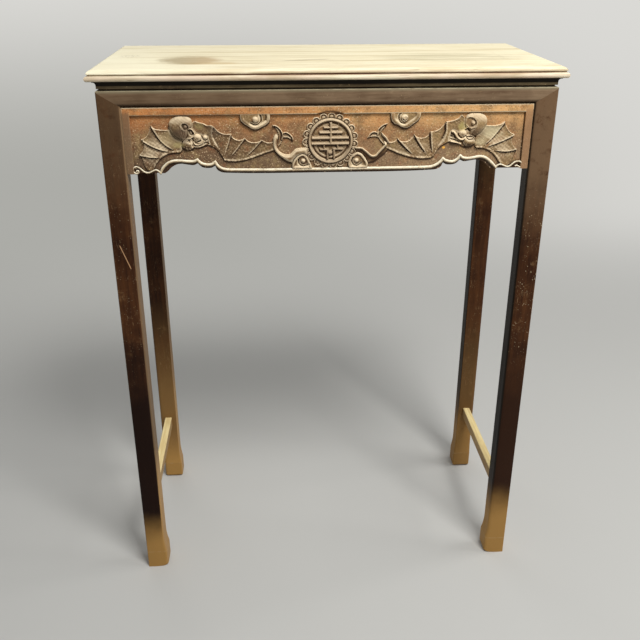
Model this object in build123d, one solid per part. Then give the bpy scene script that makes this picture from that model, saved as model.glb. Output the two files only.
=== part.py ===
from build123d import *
import os

os.makedirs("parts", exist_ok=True)

# Overall sizes of the table, in millimetres. X is the width, -Y the front, Z up from the floor.
table_height = 1050.0
frame_width = 790.0
frame_depth = 374.0

# Legs and their pieced feet.
leg_face = 40.0
leg_side = 38.0
leg_corner_radius = 2.4
leg_roll = 8.0
leg_back_round = 2.5
leg_crown = 0.8
hoof_swell = 4.0
hoof_rise = 40.0
foot_height = 40.0
foot_toe_round = 6.0
dowel_radius = 6.0
dowel_length = 36.0

# Tenons on the head of each leg, up into the two frame members that meet over it.
top_tenon_height = 7.5
top_tenon_inset = 2.0
long_tenon_width = 12.0
long_tenon_depth = 10.0
short_tenon_width = 5.0
short_tenon_depth = 7.0

# Edge frame of the table top. Its upper arris overhangs the faces of the legs by these amounts.
end_overhang = 3.5
front_overhang = -5.5
top_frame_thickness = 18.5
top_frame_width = 70.0
lip_reach = 10.5
lip_height = 8.7
lip_root = 3.0
slope_reach = 7.0
slope_round = 1.4
arris_round = 0.8
groove_height = 3.0
groove_depth = 1.8
groove_splay = 0.7
top_panel_thickness = 12.0
panel_tongue = 5.0
panel_tongue_reach = 7.0
panel_lower_rebate = 1.0
corner_tenon_inset = 21.0
corner_tenon_width = 22.0
corner_tenon_end = 15.0
corner_tenon_thickness = 5.0

# Bands below the top: waist strip, rail, apron.
waist_height = 15.5
waist_back = 12.0
waist_setback = 3.0
quirk_height = 3.5
quirk_setback = 7.0
cove_start = 8.0
cove_reach = 2.5
cove_edge = 0.8
rail_height = 26.0
rail_front_layer = 14.0
rail_depth = 30.0
rail_roll_back = 8.0
rail_top_round = 2.4
mitre_drop = 1.5
rail_tenon_setback = 1.0
rail_tenon_thickness = 10.0
rail_tenon_shoulder = 4.0
apron_height = 114.0
apron_setback = 5.0
apron_thickness = 20.0
plain_apron_thickness = 16.0
apron_shadow_gap = 2.0
tongue_front = 10.0
tongue_thickness = 8.0
tongue_reach = 8.0
tongue_inset = 12.0
cusp_rise = 12.0
cusp_step = 4.5
lobe_dip = 3.6
shoulder_rise = 15.3

# Places along the lower edge of an apron, measured from the leg: end of the flat middle,
# inner cusp, outer cusp, crest and toe.
long_apron_steps = (176.0, 153.0, 123.5, 93.0, 65.0)
short_apron_steps = (111.0, 91.0, 67.0, 43.0, 21.0)

# Carving of the front apron.
border_side = 12.5
border_top = 13.5
bead_width = 9.0
ground_depth = 5.0
relief_low = 3.2
relief_high = 4.6
bat_from_leg = 99.0
bat_crest_radius = 20.8
hanging_cloud_x = 129.5
roundel_drop = 4.0
ring_outer = 38.7
ring_inner = 33.0
petal_count = 20
petal_circle = 42.5
petal_radius = 6.6
sign_stroke = 3.6

# The long-life sign in the roundel: height and half length of its bars, then its lower strokes.
sign_bars = ((22.5, 14.0), (15.0, 20.0), (6.0, ring_inner), (-3.5, ring_inner))
sign_arc_gap = 3.5
sign_arc_width = 3.0
sign_foot_bar = (10.0, -12.3, 14.0)
sign_foot_post = (10.5, -8.0, 7.0)
sign_heart_post = (4.5, -23.0, 21.0)

# Low bars joining the front and back leg of each end.
stretcher_bottom = 149.5
stretcher_height = 24.0
stretcher_thickness = 16.0
stretcher_softening = 1.2
stretcher_tenon_length = 20.0
stretcher_tenon_shoulder = 4.0

# Battens under the top board.
batten_width = 30.0
batten_height = 24.0
batten_spacing = 200.0
batten_tenon_width = 20.0
batten_tenon_height = 5.0
batten_tenon_length = 12.0
dovetail_depth = 3.0
dovetail_neck = 18.0
dovetail_flare = 2.0

# Fits, the least wood between two joints, and how far a cut runs past the wood that it cuts.
end_gap = 1.0
panel_gap = 0.2
joint_web = 1.0
overcut = 1.0

# Heights that follow from the sizes above.
underside = table_height - top_frame_thickness
rail_top = underside - waist_height
rail_bottom = rail_top - rail_height
apron_top = rail_bottom - apron_shadow_gap
apron_bottom = apron_top - apron_height
half_width = frame_width / 2
half_depth = frame_depth / 2
inner_x = half_width - leg_face
inner_y = half_depth - leg_side
arris_x = half_width + end_overhang
arris_y = half_depth + front_overhang
open_x = arris_x - top_frame_width
open_y = arris_y - top_frame_width
board_bottom = table_height - top_panel_thickness
hoof_start = foot_height + hoof_rise
lip_top = underside + lip_height
slope_bottom = lip_top + groove_height
spare = 60.0


def block(x0, x1, y0, y1, z0, z1):
    """A plain block between two corners."""
    return Pos((x0 + x1) / 2, (y0 + y1) / 2, (z0 + z1) / 2) * Box(x1 - x0, y1 - y0, z1 - z0)


def prism(points, plane, amount):
    """A straight-sided outline given the thickness `amount`, both ways from its plane."""
    return extrude(plane * make_face(Polyline(*points, close=True)), amount / 2, both=True)


def at_side(shape, side, x, y):
    """Puts a piece drawn along X, with its outside facing -Y, on one of the four sides."""
    if side == "front":
        return Pos(0, -y, 0) * shape
    if side == "back":
        return Pos(0, y, 0) * Rot(0, 0, 180) * shape
    if side == "left":
        return Pos(-x, 0, 0) * Rot(0, 0, -90) * shape
    return Pos(x, 0, 0) * Rot(0, 0, 90) * shape


def at_corner(shape, corner):
    """Puts a piece drawn for the front left corner at one of the four corners."""
    if "right" in corner:
        shape = mirror(shape, about=Plane.YZ)
    if "back" in corner:
        shape = mirror(shape, about=Plane.XZ)
    return shape


def save(node, shape):
    shape.label = node
    export_step(shape, f"parts/{node}.step")


corners = ["front_left", "front_right", "back_left", "back_right"]
sides = ["front", "back", "left", "right"]


# Table top frame: four moulded members mitred at the corners, the end members tenoned into the long ones.
def top_member(half_arris):
    groove_back = slope_reach - groove_depth
    lip_end = lip_reach - lip_root
    profile = make_face(
        Line((top_frame_width, underside), (top_frame_width, table_height))
        + Line((top_frame_width, table_height), (arris_round, table_height))
        + Bezier(
            (arris_round, table_height),
            (slope_round - slope_reach, table_height - slope_round),
            (-slope_reach, slope_bottom + slope_round),
        )
        + Line((-slope_reach, slope_bottom + slope_round), (-slope_reach, slope_bottom))
        + Line((-slope_reach, slope_bottom), (-groove_back, slope_bottom - groove_splay))
        + Line((-groove_back, slope_bottom - groove_splay), (-groove_back, lip_top + groove_splay))
        + Line((-groove_back, lip_top + groove_splay), (-lip_end, lip_top))
        + ThreePointArc(
            (-lip_end, lip_top), (-lip_reach, (lip_top + underside) / 2), (-lip_end, underside)
        )
        + Line((-lip_end, underside), (top_frame_width, underside))
    )
    half = half_arris + lip_reach
    bar = extrude(Plane.YZ * profile, half, both=True)
    run = lip_reach + top_frame_width
    plan = [
        (-half, -lip_reach),
        (half, -lip_reach),
        (half - run, top_frame_width),
        (run - half, top_frame_width),
    ]
    bar &= prism(plan, Plane.XY.offset(table_height), 2 * spare)
    groove_z = board_bottom + panel_lower_rebate
    bar -= block(
        -half,
        half,
        top_frame_width - panel_tongue_reach - end_gap,
        top_frame_width + overcut,
        groove_z,
        groove_z + panel_tongue,
    )
    return bar


top_frame = {}
for side in sides:
    half_arris = arris_x if side in ("front", "back") else arris_y
    top_frame[side] = at_side(top_member(half_arris), side, arris_x, arris_y)
corner_tenon_bottom = underside + top_tenon_height + joint_web
corner_tenon = block(
    -arris_x + corner_tenon_inset,
    -arris_x + corner_tenon_inset + corner_tenon_width,
    -arris_y + corner_tenon_end,
    -arris_y + top_frame_width,
    corner_tenon_bottom,
    corner_tenon_bottom + corner_tenon_thickness,
)
for corner in corners:
    end = "left" if "left" in corner else "right"
    long_side = "front" if "front" in corner else "back"
    tenon = at_corner(corner_tenon, corner)
    top_frame[long_side] -= tenon
    top_frame[end] += tenon - top_frame[long_side]

# Table top boards: two boards glued edge to edge, their rebated rim held in the grooves of the frame.
panel = block(
    -open_x + panel_gap,
    open_x - panel_gap,
    -open_y + panel_gap,
    open_y - panel_gap,
    board_bottom,
    table_height,
)
panel += block(
    -open_x - panel_tongue_reach,
    open_x + panel_tongue_reach,
    -open_y - panel_tongue_reach,
    open_y + panel_tongue_reach,
    board_bottom + panel_lower_rebate,
    board_bottom + panel_lower_rebate + panel_tongue,
)

# Battens: cross bars dovetailed into the boards from below and tenoned into the long frame members.
battens = {}
for name, x in (("left", -batten_spacing), ("middle", 0.0), ("right", batten_spacing)):
    bar = block(
        x - batten_width / 2,
        x + batten_width / 2,
        -open_y,
        open_y,
        board_bottom - batten_height,
        board_bottom,
    )
    neck = dovetail_neck / 2
    crown = neck + dovetail_flare
    tail = [
        (x - neck, board_bottom),
        (x + neck, board_bottom),
        (x + crown, board_bottom + dovetail_depth),
        (x - crown, board_bottom + dovetail_depth),
    ]
    bar += prism(tail, Plane.XZ, 2 * (open_y + panel_tongue_reach))
    half = batten_tenon_width / 2
    reach = open_y + batten_tenon_length
    low = board_bottom - batten_tenon_height
    bar += block(x - half, x + half, -reach, reach, low, board_bottom)
    socket = block(x - half, x + half, -reach - end_gap, reach + end_gap, low, board_bottom)
    battens[name] = bar
    panel -= bar
    for side in ("front", "back"):
        top_frame[side] -= socket
        top_frame[side] -= bar

front_half = block(-arris_x, arris_x, -arris_y, 0, underside, table_height + spare)
save("top_board_front", panel & front_half)
save("top_board_back", panel - front_half)
for name, bar in battens.items():
    save("top_batten_" + name, bar)


# Rails: the moulded band under the waist, mitred over the tops of the legs and tenoned into them.
def rail(half_length, leg_along):
    crown_top = rail_top - rail_top_round
    crown_foot = rail_bottom + leg_roll * rail_height / leg_face
    profile = make_face(
        Line((rail_depth, rail_bottom), (rail_depth, rail_top))
        + Line((rail_depth, rail_top), (leg_crown + rail_top_round, rail_top))
        + Bezier((leg_crown + rail_top_round, rail_top), (leg_crown, rail_top), (leg_crown, crown_top))
        + ThreePointArc((leg_crown, crown_top), (0, (crown_top + crown_foot) / 2), (leg_crown, crown_foot))
        + Bezier((leg_crown, crown_foot), (leg_crown, rail_bottom), (rail_roll_back, rail_bottom))
        + Line((rail_roll_back, rail_bottom), (rail_depth, rail_bottom))
    )
    bar = extrude(Plane.YZ * profile, half_length, both=True)
    for hand in (-1, 1):
        end = hand * half_length
        inner = hand * (half_length - leg_along)
        below = [
            (end, rail_bottom - spare),
            (end, rail_top - mitre_drop),
            (inner, rail_bottom),
            (inner, rail_bottom - spare),
        ]
        bar -= prism(below, Plane.XZ, 4 * spare)
        plan = [(end, 0), (end, spare), (end - hand * spare, spare)]
        bar -= prism(plan, Plane.XY.offset(rail_bottom), 4 * spare)
        bar -= block(
            min(end, inner),
            max(end, inner),
            rail_front_layer,
            rail_depth,
            rail_bottom - overcut,
            rail_top + overcut,
        )
    return bar


def rail_tenons(half_length, leg_along, extra):
    """The two end tenons of a rail, or their mortises when made longer by `extra`."""
    near = half_length - leg_along
    front = rail_front_layer + rail_tenon_setback
    far = near + leg_along - front - rail_tenon_thickness - end_gap - joint_web + extra
    low = rail_bottom + tongue_reach + end_gap + joint_web
    high = rail_top - rail_tenon_shoulder
    return [
        block(near, far, front, front + rail_tenon_thickness, low, high),
        block(-far, -near, front, front + rail_tenon_thickness, low, high),
    ]


# Aprons: boards under the rails, tongued into the rail above and the legs at each end.
def apron_half_edge(half_length, steps):
    """Half of the lower edge: a flat middle, two cusped lobes, a crest and a flat toe by the leg."""
    flat, cusp_in, cusp_out, crest, toe = [half_length - step for step in steps]
    dip = (cusp_in + cusp_out) / 2
    return (
        Line((0, 0), (flat, 0))
        + Bezier((flat, 0), ((flat + 3 * cusp_in) / 4, 0), (cusp_in, cusp_rise))
        + ThreePointArc(
            (cusp_in, cusp_rise), (dip, cusp_rise - lobe_dip), (cusp_out, cusp_rise + cusp_step)
        )
        + Bezier(
            (cusp_out, cusp_rise + cusp_step),
            ((cusp_out + crest) / 2, cusp_rise - lobe_dip / 2),
            (crest, shoulder_rise),
        )
        + Bezier((crest, shoulder_rise), ((crest + 2 * toe) / 3, shoulder_rise), (toe, 0))
        + Line((toe, 0), (half_length, 0))
    )


def apron_face(half_length, steps):
    sides_and_top = Polyline(
        (half_length, 0), (half_length, apron_height), (0, apron_height), (0, 0)
    )
    half = make_face(apron_half_edge(half_length, steps) + sides_and_top)
    return half + mirror(half, about=Plane.YZ)


def upright(face, front, back):
    """Stands a face, drawn in width and height above the apron's lower edge, between two depths."""
    return extrude(Pos(0, back, apron_bottom) * Rot(90, 0, 0) * face, back - front)


def apron(half_length, steps, thickness):
    board = upright(apron_face(half_length, steps), apron_setback, apron_setback + thickness)
    for tongue in apron_tongues(half_length, apron_top, 0):
        board += tongue
    return board


def apron_tongues(half_length, foot_of_top_tongue, extra):
    """The top and end tongues of an apron, or their grooves when made deeper by `extra`."""
    top = block(
        -half_length + tongue_inset,
        half_length - tongue_inset,
        tongue_front,
        tongue_front + tongue_thickness,
        foot_of_top_tongue,
        rail_bottom + tongue_reach + extra,
    )
    ends = block(
        -half_length - tongue_reach - extra,
        half_length + tongue_reach + extra,
        tongue_front,
        tongue_front + tongue_thickness,
        apron_bottom + tongue_inset,
        apron_top - tongue_inset,
    )
    return top, ends


leg_cutters = []
for side in sides:
    long_side = side in ("front", "back")
    half_length = half_width if long_side else half_depth
    leg_along = leg_face if long_side else leg_side
    top_groove, end_grooves = apron_tongues(half_length - leg_along, rail_bottom - overcut, end_gap)
    bar = rail(half_length, leg_along) - top_groove
    for tenon in rail_tenons(half_length, leg_along, 0):
        bar += tenon
    for mortise in rail_tenons(half_length, leg_along, end_gap):
        leg_cutters.append(at_side(mortise, side, half_width, half_depth))
    leg_cutters.append(at_side(end_grooves, side, half_width, half_depth))
    save("rail_" + side, at_side(bar, side, half_width, half_depth))

back_board = apron(inner_x, long_apron_steps, plain_apron_thickness)
save("apron_back", at_side(back_board, "back", half_width, half_depth))
for side in ("left", "right"):
    board = apron(inner_y, short_apron_steps, plain_apron_thickness)
    save("apron_" + side, at_side(board, side, half_width, half_depth))


# Carved front apron: the ground is sunk inside a flat border and the motifs are left standing.
def outline(*run):
    """A closed face: points in order, where a point in square brackets bends the run into an arc."""
    edges = []
    here = run[0]
    bend = None
    for item in run[1:] + run[:1]:
        if isinstance(item, list):
            bend = tuple(item)
            continue
        edges.append(ThreePointArc(here, bend, item) if bend else Line(here, item))
        here = item
        bend = None
    return make_face(edges)


def raised(face, height):
    """A motif standing `height` above the sunk ground."""
    return upright(face, ground_front - height, ground_front + overcut)


ground_front = apron_setback + ground_depth
ground_top = apron_height - border_top
front_apron = apron(inner_x, long_apron_steps, apron_thickness)
sunk = Pos(0, (ground_top - spare) / 2) * Rectangle(2 * (inner_x - border_side), ground_top + spare)
sunk &= Pos(0, bead_width) * apron_face(inner_x, long_apron_steps)
front_apron -= upright(sunk, apron_setback - overcut, ground_front)

# The bat: its curled crest, its face, a scalloped wing towards the leg and one towards the middle.
bat_crest = Circle(bat_crest_radius)
outer_wing = outline(
    (1, -1), (37, -2), (52, 5.5), [56.6, -8.8], (71.4, -18.3), [66.3, -29.3], (76.5, -44.8),
    (71, -54), (67, -70), (49, -70), (48, -61.7), [29.8, -46.1], (3, -41.3),
)
inner_wing = outline(
    (-16, 13.7), (-54, 5.2), [-66, -8.3], (-82.5, -11), [-95.5, -20.8], (-108, -17.3),
    [-123.5, -26.5], (-137, -22), [-147, -27], (-155, -24.3), (-155, -40.3), [-119, -53.1],
    (-80, -58.7), (-70, -56.3), [-58, -37.3], (-42, -29.7), (-6, -26.3),
)
bat_face = outline(
    (6, -18.3), (2, -34.3), [-9, -37.7], (-20, -34.3), (-38, -31.3), (-45, -25.3), (-47, -18.3),
    (-40, -12.3), (-30, -9.8), (-16, -4.3),
)

# The clouds: two curls and a tendril beside each bat, one cloud low down and one under the border.
curl = outline(
    (98.5, 81), [86, 77.5], (83, 65), [86, 52.5], (94, 44.3), (93.6, 66), (89.5, 57), (90, 68),
)
small_curl = outline((83, 69), [74, 68.5], (64.2, 60), (67, 55.5), [73.5, 61], (83, 62))
tendril = outline(
    (95, 66), [100.8, 52], (99, 35.8), [86, 21.6], (66, 14), (63, 38), [77, 31.4], (90.4, 36.9),
    [94.3, 50], (93.4, 65),
)
low_cloud = outline((68, 8), (66, 20), (60, 29), (66, 37), [56, 42], (47, 40), (42, 28), (34, 8))
hanging_cloud = outline(
    (-26, 2), (-25, -12), [-19.5, -18.5], (-9.5, -20.5), [1.5, -25.4], (12.5, -19.7),
    (21.5, -13.5), (25.5, -6), (25.5, 2),
)
bat_place = Pos(inner_x - bat_from_leg, ground_top - bat_crest_radius - 1.5)
cloud_place = Pos(hanging_cloud_x, ground_top)
for hand in (1, -1):
    for face, height in (
        (bat_place * outer_wing, relief_low),
        (bat_place * inner_wing, relief_low),
        (bat_place * bat_face, relief_high),
        (bat_place * bat_crest, relief_high),
        (curl, relief_low),
        (small_curl, relief_low),
        (tendril, relief_low),
        (low_cloud, relief_low),
        (cloud_place * hanging_cloud, relief_low),
    ):
        piece = raised(face & apron_face(inner_x, long_apron_steps), height)
        front_apron += piece if hand == 1 else mirror(piece, about=Plane.YZ)

# The roundel: petals round a ring that holds the long-life sign.
roundel_centre = Pos(0, apron_height / 2 - roundel_drop)
petals = Circle(ring_outer + 1)
for n in range(petal_count):
    petals += Rot(0, 0, 360 / petal_count * n) * Pos(0, petal_circle) * Circle(petal_radius)
front_apron += raised(roundel_centre * petals, relief_low)
front_apron += raised(roundel_centre * Circle(ring_outer), relief_high)
front_apron -= upright(
    roundel_centre * Circle(ring_inner), apron_setback - overcut, ground_front - overcut
)
sign = Pos(0, ring_inner / 2) * Rectangle(sign_stroke, ring_inner)
for height, half_bar in sign_bars:
    sign += Pos(0, height) * Rectangle(2 * half_bar, sign_stroke)
sign_arc = Circle(ring_inner - sign_arc_gap) - Circle(ring_inner - sign_arc_gap - sign_arc_width)
sign += sign_arc - Pos(0, ring_inner) * Rectangle(3 * ring_inner, 2 * ring_inner)
for hand in (1, -1):
    x, height, length = sign_foot_bar
    sign += Pos(x * hand, height) * Rectangle(length, sign_stroke)
    for x, height, length in (sign_foot_post, sign_heart_post):
        sign += Pos(x * hand, height) * Rectangle(sign_stroke, length)
sign &= Circle(ring_inner + overcut / 2)
front_apron += raised(roundel_centre * sign, relief_high)
save("apron_front", at_side(front_apron, "front", half_width, half_depth))


# Waist strips: narrow coved strips between the rails and the top, mitred at the corners.
def waist(half_length):
    top = underside
    cove = top - cove_start
    profile = make_face(
        Line((waist_back, rail_top), (waist_back, top))
        + Line((waist_back, top), (-cove_reach, top))
        + Line((-cove_reach, top), (-cove_reach, top - cove_edge))
        + Bezier((-cove_reach, top - cove_edge), (waist_setback, top - cove_edge), (waist_setback, cove))
        + Line((waist_setback, cove), (waist_setback, rail_top + quirk_height))
        + Line((waist_setback, rail_top + quirk_height), (quirk_setback, rail_top + quirk_height))
        + Line((quirk_setback, rail_top + quirk_height), (quirk_setback, rail_top))
        + Line((quirk_setback, rail_top), (waist_back, rail_top))
    )
    half = half_length + cove_reach
    bar = extrude(Plane.YZ * profile, half, both=True)
    run = cove_reach + waist_back
    plan = [(-half, -cove_reach), (half, -cove_reach), (half - run, waist_back), (run - half, waist_back)]
    return bar & prism(plan, Plane.XY.offset(underside), 2 * spare)


for side in sides:
    half_length = half_width if side in ("front", "back") else half_depth
    save("waist_" + side, at_side(waist(half_length), side, half_width, half_depth))


# Legs: straight square posts with a soft front, swelling a little on the inside above the foot.
def leg_outline(swell, z, shrink=1.0):
    """The section at height z, its outer corner at the corner of the frame."""
    across = leg_face + swell
    deep = leg_side + swell
    c = leg_crown
    r = leg_roll
    b = leg_back_round
    face = make_face(
        ThreePointArc((c, c), ((across - r) / 2, 0), (across - r, c))
        + Bezier((across - r, c), (across, c), (across, r))
        + Line((across, r), (across, deep - b))
        + Bezier((across, deep - b), (across, deep), (across - b, deep))
        + Line((across - b, deep), (r, deep))
        + Bezier((r, deep), (c, deep), (c, deep - r))
        + ThreePointArc((c, deep - r), (0, (deep - r) / 2), (c, c))
    )
    outer_corner = face.vertices().sort_by(lambda v: v.X + v.Y)[0]
    face = fillet(outer_corner, leg_corner_radius)
    middle = Pos(across / 2, deep / 2)
    centred = Pos(-across / 2, -deep / 2) * face
    return Pos(-half_width, -half_depth, z) * middle * scale(centred, shrink)


def corner_block(x0, x1, y0, y1, z0, z1):
    """A block in the front left leg, measured inwards from the corner of the frame."""
    return block(x0 - half_width, x1 - half_width, y0 - half_depth, y1 - half_depth, z0, z1)


def slope_room(outer, inner):
    """The room above the sloping mitre of rail and leg, run on past both ends of the slope."""
    fall = (rail_top - mitre_drop - rail_bottom) / (outer - inner) * overcut
    return [
        (-outer - overcut, rail_top - mitre_drop + fall),
        (-inner + overcut, rail_bottom - fall),
        (-inner + overcut, rail_top + spare),
        (-outer - overcut, rail_top + spare),
    ]


def corner_wedge(slope, slope_plane, plan):
    """The room above the sloping mitre, over a plan area at the outer faces of the leg."""
    column = prism(plan, Plane.XY.offset(rail_top), 4 * spare)
    return column & prism(slope, slope_plane, 2 * frame_width)


leg = extrude(leg_outline(0, hoof_start), rail_top - hoof_start)
leg += loft(
    [
        leg_outline(hoof_swell, foot_height),
        leg_outline(hoof_swell / 4, (foot_height + hoof_start) / 2),
        leg_outline(0, hoof_start),
    ]
)
layer = rail_front_layer
front_slope = slope_room(half_width, inner_x)
side_slope = slope_room(half_depth, inner_y)
outside_x = -half_width - overcut
outside_y = -half_depth - overcut
front_plan = [
    (outside_x, outside_y),
    (-half_width + layer, -half_depth + layer),
    (-inner_x + overcut, -half_depth + layer),
    (-inner_x + overcut, outside_y),
]
side_plan = [
    (outside_x, outside_y),
    (-half_width + layer, -half_depth + layer),
    (-half_width + layer, -inner_y + overcut),
    (outside_x, -inner_y + overcut),
]
leg -= corner_wedge(front_slope, Plane.XZ, front_plan)
leg -= corner_wedge(side_slope, Plane.YZ, side_plan)
for cutter in leg_cutters:
    leg -= cutter
leg += corner_block(waist_back, leg_face, waist_back, leg_side, rail_top, underside)
long_tenon = corner_block(
    leg_face - top_tenon_inset - long_tenon_width,
    leg_face - top_tenon_inset,
    waist_back + top_tenon_inset,
    waist_back + top_tenon_inset + long_tenon_depth,
    underside,
    underside + top_tenon_height,
)
short_tenon = corner_block(
    waist_back + top_tenon_inset,
    waist_back + top_tenon_inset + short_tenon_width,
    leg_side - top_tenon_inset - short_tenon_depth,
    leg_side - top_tenon_inset,
    underside,
    underside + top_tenon_height,
)
leg += long_tenon
leg += short_tenon

dowel_x = -half_width + leg_face / 2
dowel_y = -half_depth + leg_side / 2
dowel = Pos(dowel_x, dowel_y, foot_height) * Cylinder(dowel_radius, dowel_length)
dowel_hole = Pos(dowel_x, dowel_y, foot_height) * Cylinder(dowel_radius, dowel_length + 2 * end_gap)
leg -= dowel_hole

# Feet: separate blocks of the same section, dowelled and glued under the legs, with a rounded toe.
foot = extrude(leg_outline(hoof_swell, foot_toe_round), foot_height - foot_toe_round)
toe_sections = []
for height_share, size_share in ((1.0, 1.0), (0.62, 0.98), (0.3, 0.92), (0.08, 0.84), (0.0, 0.74)):
    toe_sections.append(leg_outline(hoof_swell, foot_toe_round * height_share, size_share))
foot += loft(toe_sections, ruled=True)
foot -= dowel_hole

# Stretchers: one flat bar low down at each end, tenoned into the front and the back leg.
bar_x = -half_width + leg_face / 2
stretcher = block(
    bar_x - stretcher_thickness / 2,
    bar_x + stretcher_thickness / 2,
    -inner_y,
    inner_y,
    stretcher_bottom,
    stretcher_bottom + stretcher_height,
)
stretcher = chamfer(stretcher.edges().filter_by(Axis.Y), stretcher_softening)
tenon_low = stretcher_bottom + stretcher_tenon_shoulder
tenon_high = stretcher_bottom + stretcher_height - stretcher_tenon_shoulder
reach = inner_y + stretcher_tenon_length
cheek = stretcher_thickness / 2 - stretcher_tenon_shoulder
stretcher += block(bar_x - cheek, bar_x + cheek, -reach, reach, tenon_low, tenon_high)
leg -= block(bar_x - cheek, bar_x + cheek, -reach - end_gap, reach + end_gap, tenon_low, tenon_high)

dowels = []
for corner in corners:
    save("leg_" + corner, at_corner(leg, corner))
    save("foot_" + corner, at_corner(foot, corner))
    dowels.append(at_corner(dowel, corner))
    for side in sides:
        top_frame[side] -= at_corner(long_tenon, corner)
        top_frame[side] -= at_corner(short_tenon, corner)
save("foot_dowels", Compound(children=dowels))
save("stretcher_left", stretcher)
save("stretcher_right", mirror(stretcher, about=Plane.YZ))
for side in sides:
    save("top_frame_" + side, top_frame[side])
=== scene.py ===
import math
from functools import partialmethod

import bpy
import numpy as np
from mathutils import Matrix, Vector
from mathutils.geometry import delaunay_2d_cdt


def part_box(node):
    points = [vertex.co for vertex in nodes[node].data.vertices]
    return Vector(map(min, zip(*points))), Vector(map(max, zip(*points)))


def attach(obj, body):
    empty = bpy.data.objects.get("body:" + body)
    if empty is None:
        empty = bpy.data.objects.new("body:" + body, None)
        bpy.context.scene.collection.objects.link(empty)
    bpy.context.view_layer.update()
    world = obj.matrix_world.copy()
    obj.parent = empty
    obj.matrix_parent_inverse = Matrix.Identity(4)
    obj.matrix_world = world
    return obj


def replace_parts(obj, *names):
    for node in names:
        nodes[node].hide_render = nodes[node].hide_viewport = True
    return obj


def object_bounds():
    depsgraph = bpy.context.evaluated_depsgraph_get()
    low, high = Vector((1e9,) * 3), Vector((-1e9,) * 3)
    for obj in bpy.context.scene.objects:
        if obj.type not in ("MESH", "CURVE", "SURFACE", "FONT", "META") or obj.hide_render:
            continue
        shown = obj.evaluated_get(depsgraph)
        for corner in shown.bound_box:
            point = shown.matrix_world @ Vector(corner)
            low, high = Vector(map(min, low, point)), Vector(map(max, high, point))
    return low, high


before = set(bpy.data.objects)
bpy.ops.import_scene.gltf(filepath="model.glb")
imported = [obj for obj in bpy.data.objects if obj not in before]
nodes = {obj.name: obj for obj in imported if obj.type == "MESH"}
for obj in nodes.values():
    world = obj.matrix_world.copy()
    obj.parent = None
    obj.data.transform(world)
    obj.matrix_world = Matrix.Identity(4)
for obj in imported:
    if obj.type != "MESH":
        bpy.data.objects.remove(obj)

cad_low, cad_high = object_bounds()
mm = 0.001

# ----------------------------------------
# Legs and feet. Four straight posts of dark hardwood with a worn reddish lacquer, each standing
# on a short foot block that is dowelled and glued under it. Handling has scratched the faces and
# rubbed the arrises. Painted light pales the legs low down by the feet and on the sides that face
# the light; painted shade darkens the sides turned away from it.
# ----------------------------------------


class Tone:
    """A value or colour that varies over a surface; plain arithmetic on it adds Math nodes."""

    def __init__(self, tree, socket):
        self.tree = tree
        self.socket = socket

    def node(self, kind, settings=None, values=None, output=0):
        """Adds any node to the same finish: first its settings, then values or links for its sockets."""
        node = self.tree.nodes.new(kind)
        for key, value in (settings or {}).items():
            setattr(node, key, value)
        for key, value in (values or {}).items():
            if isinstance(value, Tone):
                self.tree.links.new(value.socket, node.inputs[key])
            else:
                node.inputs[key].default_value = value
        return Tone(self.tree, node.outputs[output])

    def maths(self, operation, other=0.0):
        return self.node("ShaderNodeMath", {"operation": operation}, {0: self, 1: other})

    __add__ = __radd__ = partialmethod(maths, "ADD")
    __sub__ = partialmethod(maths, "SUBTRACT")
    __mul__ = __rmul__ = partialmethod(maths, "MULTIPLY")
    __truediv__ = partialmethod(maths, "DIVIDE")
    __pow__ = partialmethod(maths, "POWER")
    size = partialmethod(maths, "ABSOLUTE")
    at_most = partialmethod(maths, "MINIMUM")
    at_least = partialmethod(maths, "MAXIMUM")

    def __rsub__(self, other):
        return self.node("ShaderNodeMath", {"operation": "SUBTRACT"}, {0: other, 1: self})

    def rise(self, low, high):
        """0 below low, 1 above high, and a smooth step between them; it falls where high is below low."""
        return self.node(
            "ShaderNodeMapRange", {"interpolation_type": "SMOOTHSTEP"}, {0: self, 1: low, 2: high}
        )

    def blend(self, first, second):
        """From first to second, as this value goes from 0 to 1: each a colour Tone or 0-255 values."""
        first, second = [end if isinstance(end, Tone) else pigment(*end) for end in (first, second)]
        return self.node("ShaderNodeMix", {"data_type": "RGBA"}, {0: self, 6: first, 7: second}, 2)

    def under(self, *layers):
        """This colour with others laid over it in turn, each by its share."""
        colour = self
        for share, layer in layers:
            colour = share.blend(colour, layer)
        return colour

    def stretched(self, x, y, z):
        return self.node("ShaderNodeVectorMath", {"operation": "MULTIPLY"}, {0: self, 1: (x, y, z)})

    def turned(self, angles, scale):
        return self.node("ShaderNodeMapping", {}, {"Vector": self, "Rotation": angles, "Scale": scale})

    def noise(self, scale, detail=3.0, roughness=0.5):
        values = {"Vector": self, "Scale": scale, "Detail": detail, "Roughness": roughness}
        return self.node("ShaderNodeTexNoise", {}, values)

    def cells(self, scale):
        return self.node("ShaderNodeTexVoronoi", {}, {"Vector": self, "Scale": scale})

    def split(self):
        node = self.tree.nodes.new("ShaderNodeSeparateXYZ")
        self.tree.links.new(self.socket, node.inputs[0])
        return [Tone(self.tree, output) for output in node.outputs]

    def facing(self):
        """How far the surface looks to the right, to the back and up."""
        return self.node("ShaderNodeNewGeometry", output=1).split()


def set_stops(ramp, places, colours):
    """Puts colours at places along a colour ramp."""
    while len(ramp.elements) < len(colours):
        ramp.elements.new(0.5)
    for element, place, colour in zip(ramp.elements, places, colours):
        element.position = place
        element.color = pigment(*colour)


def pigment(red, green, blue):
    """A linear colour from everyday 0-255 values."""
    linear = []
    for value in (red, green, blue):
        share = value / 255
        linear.append(share / 12.92 if share <= 0.04045 else ((share + 0.055) / 1.055) ** 2.4)
    return (*linear, 1.0)


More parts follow.
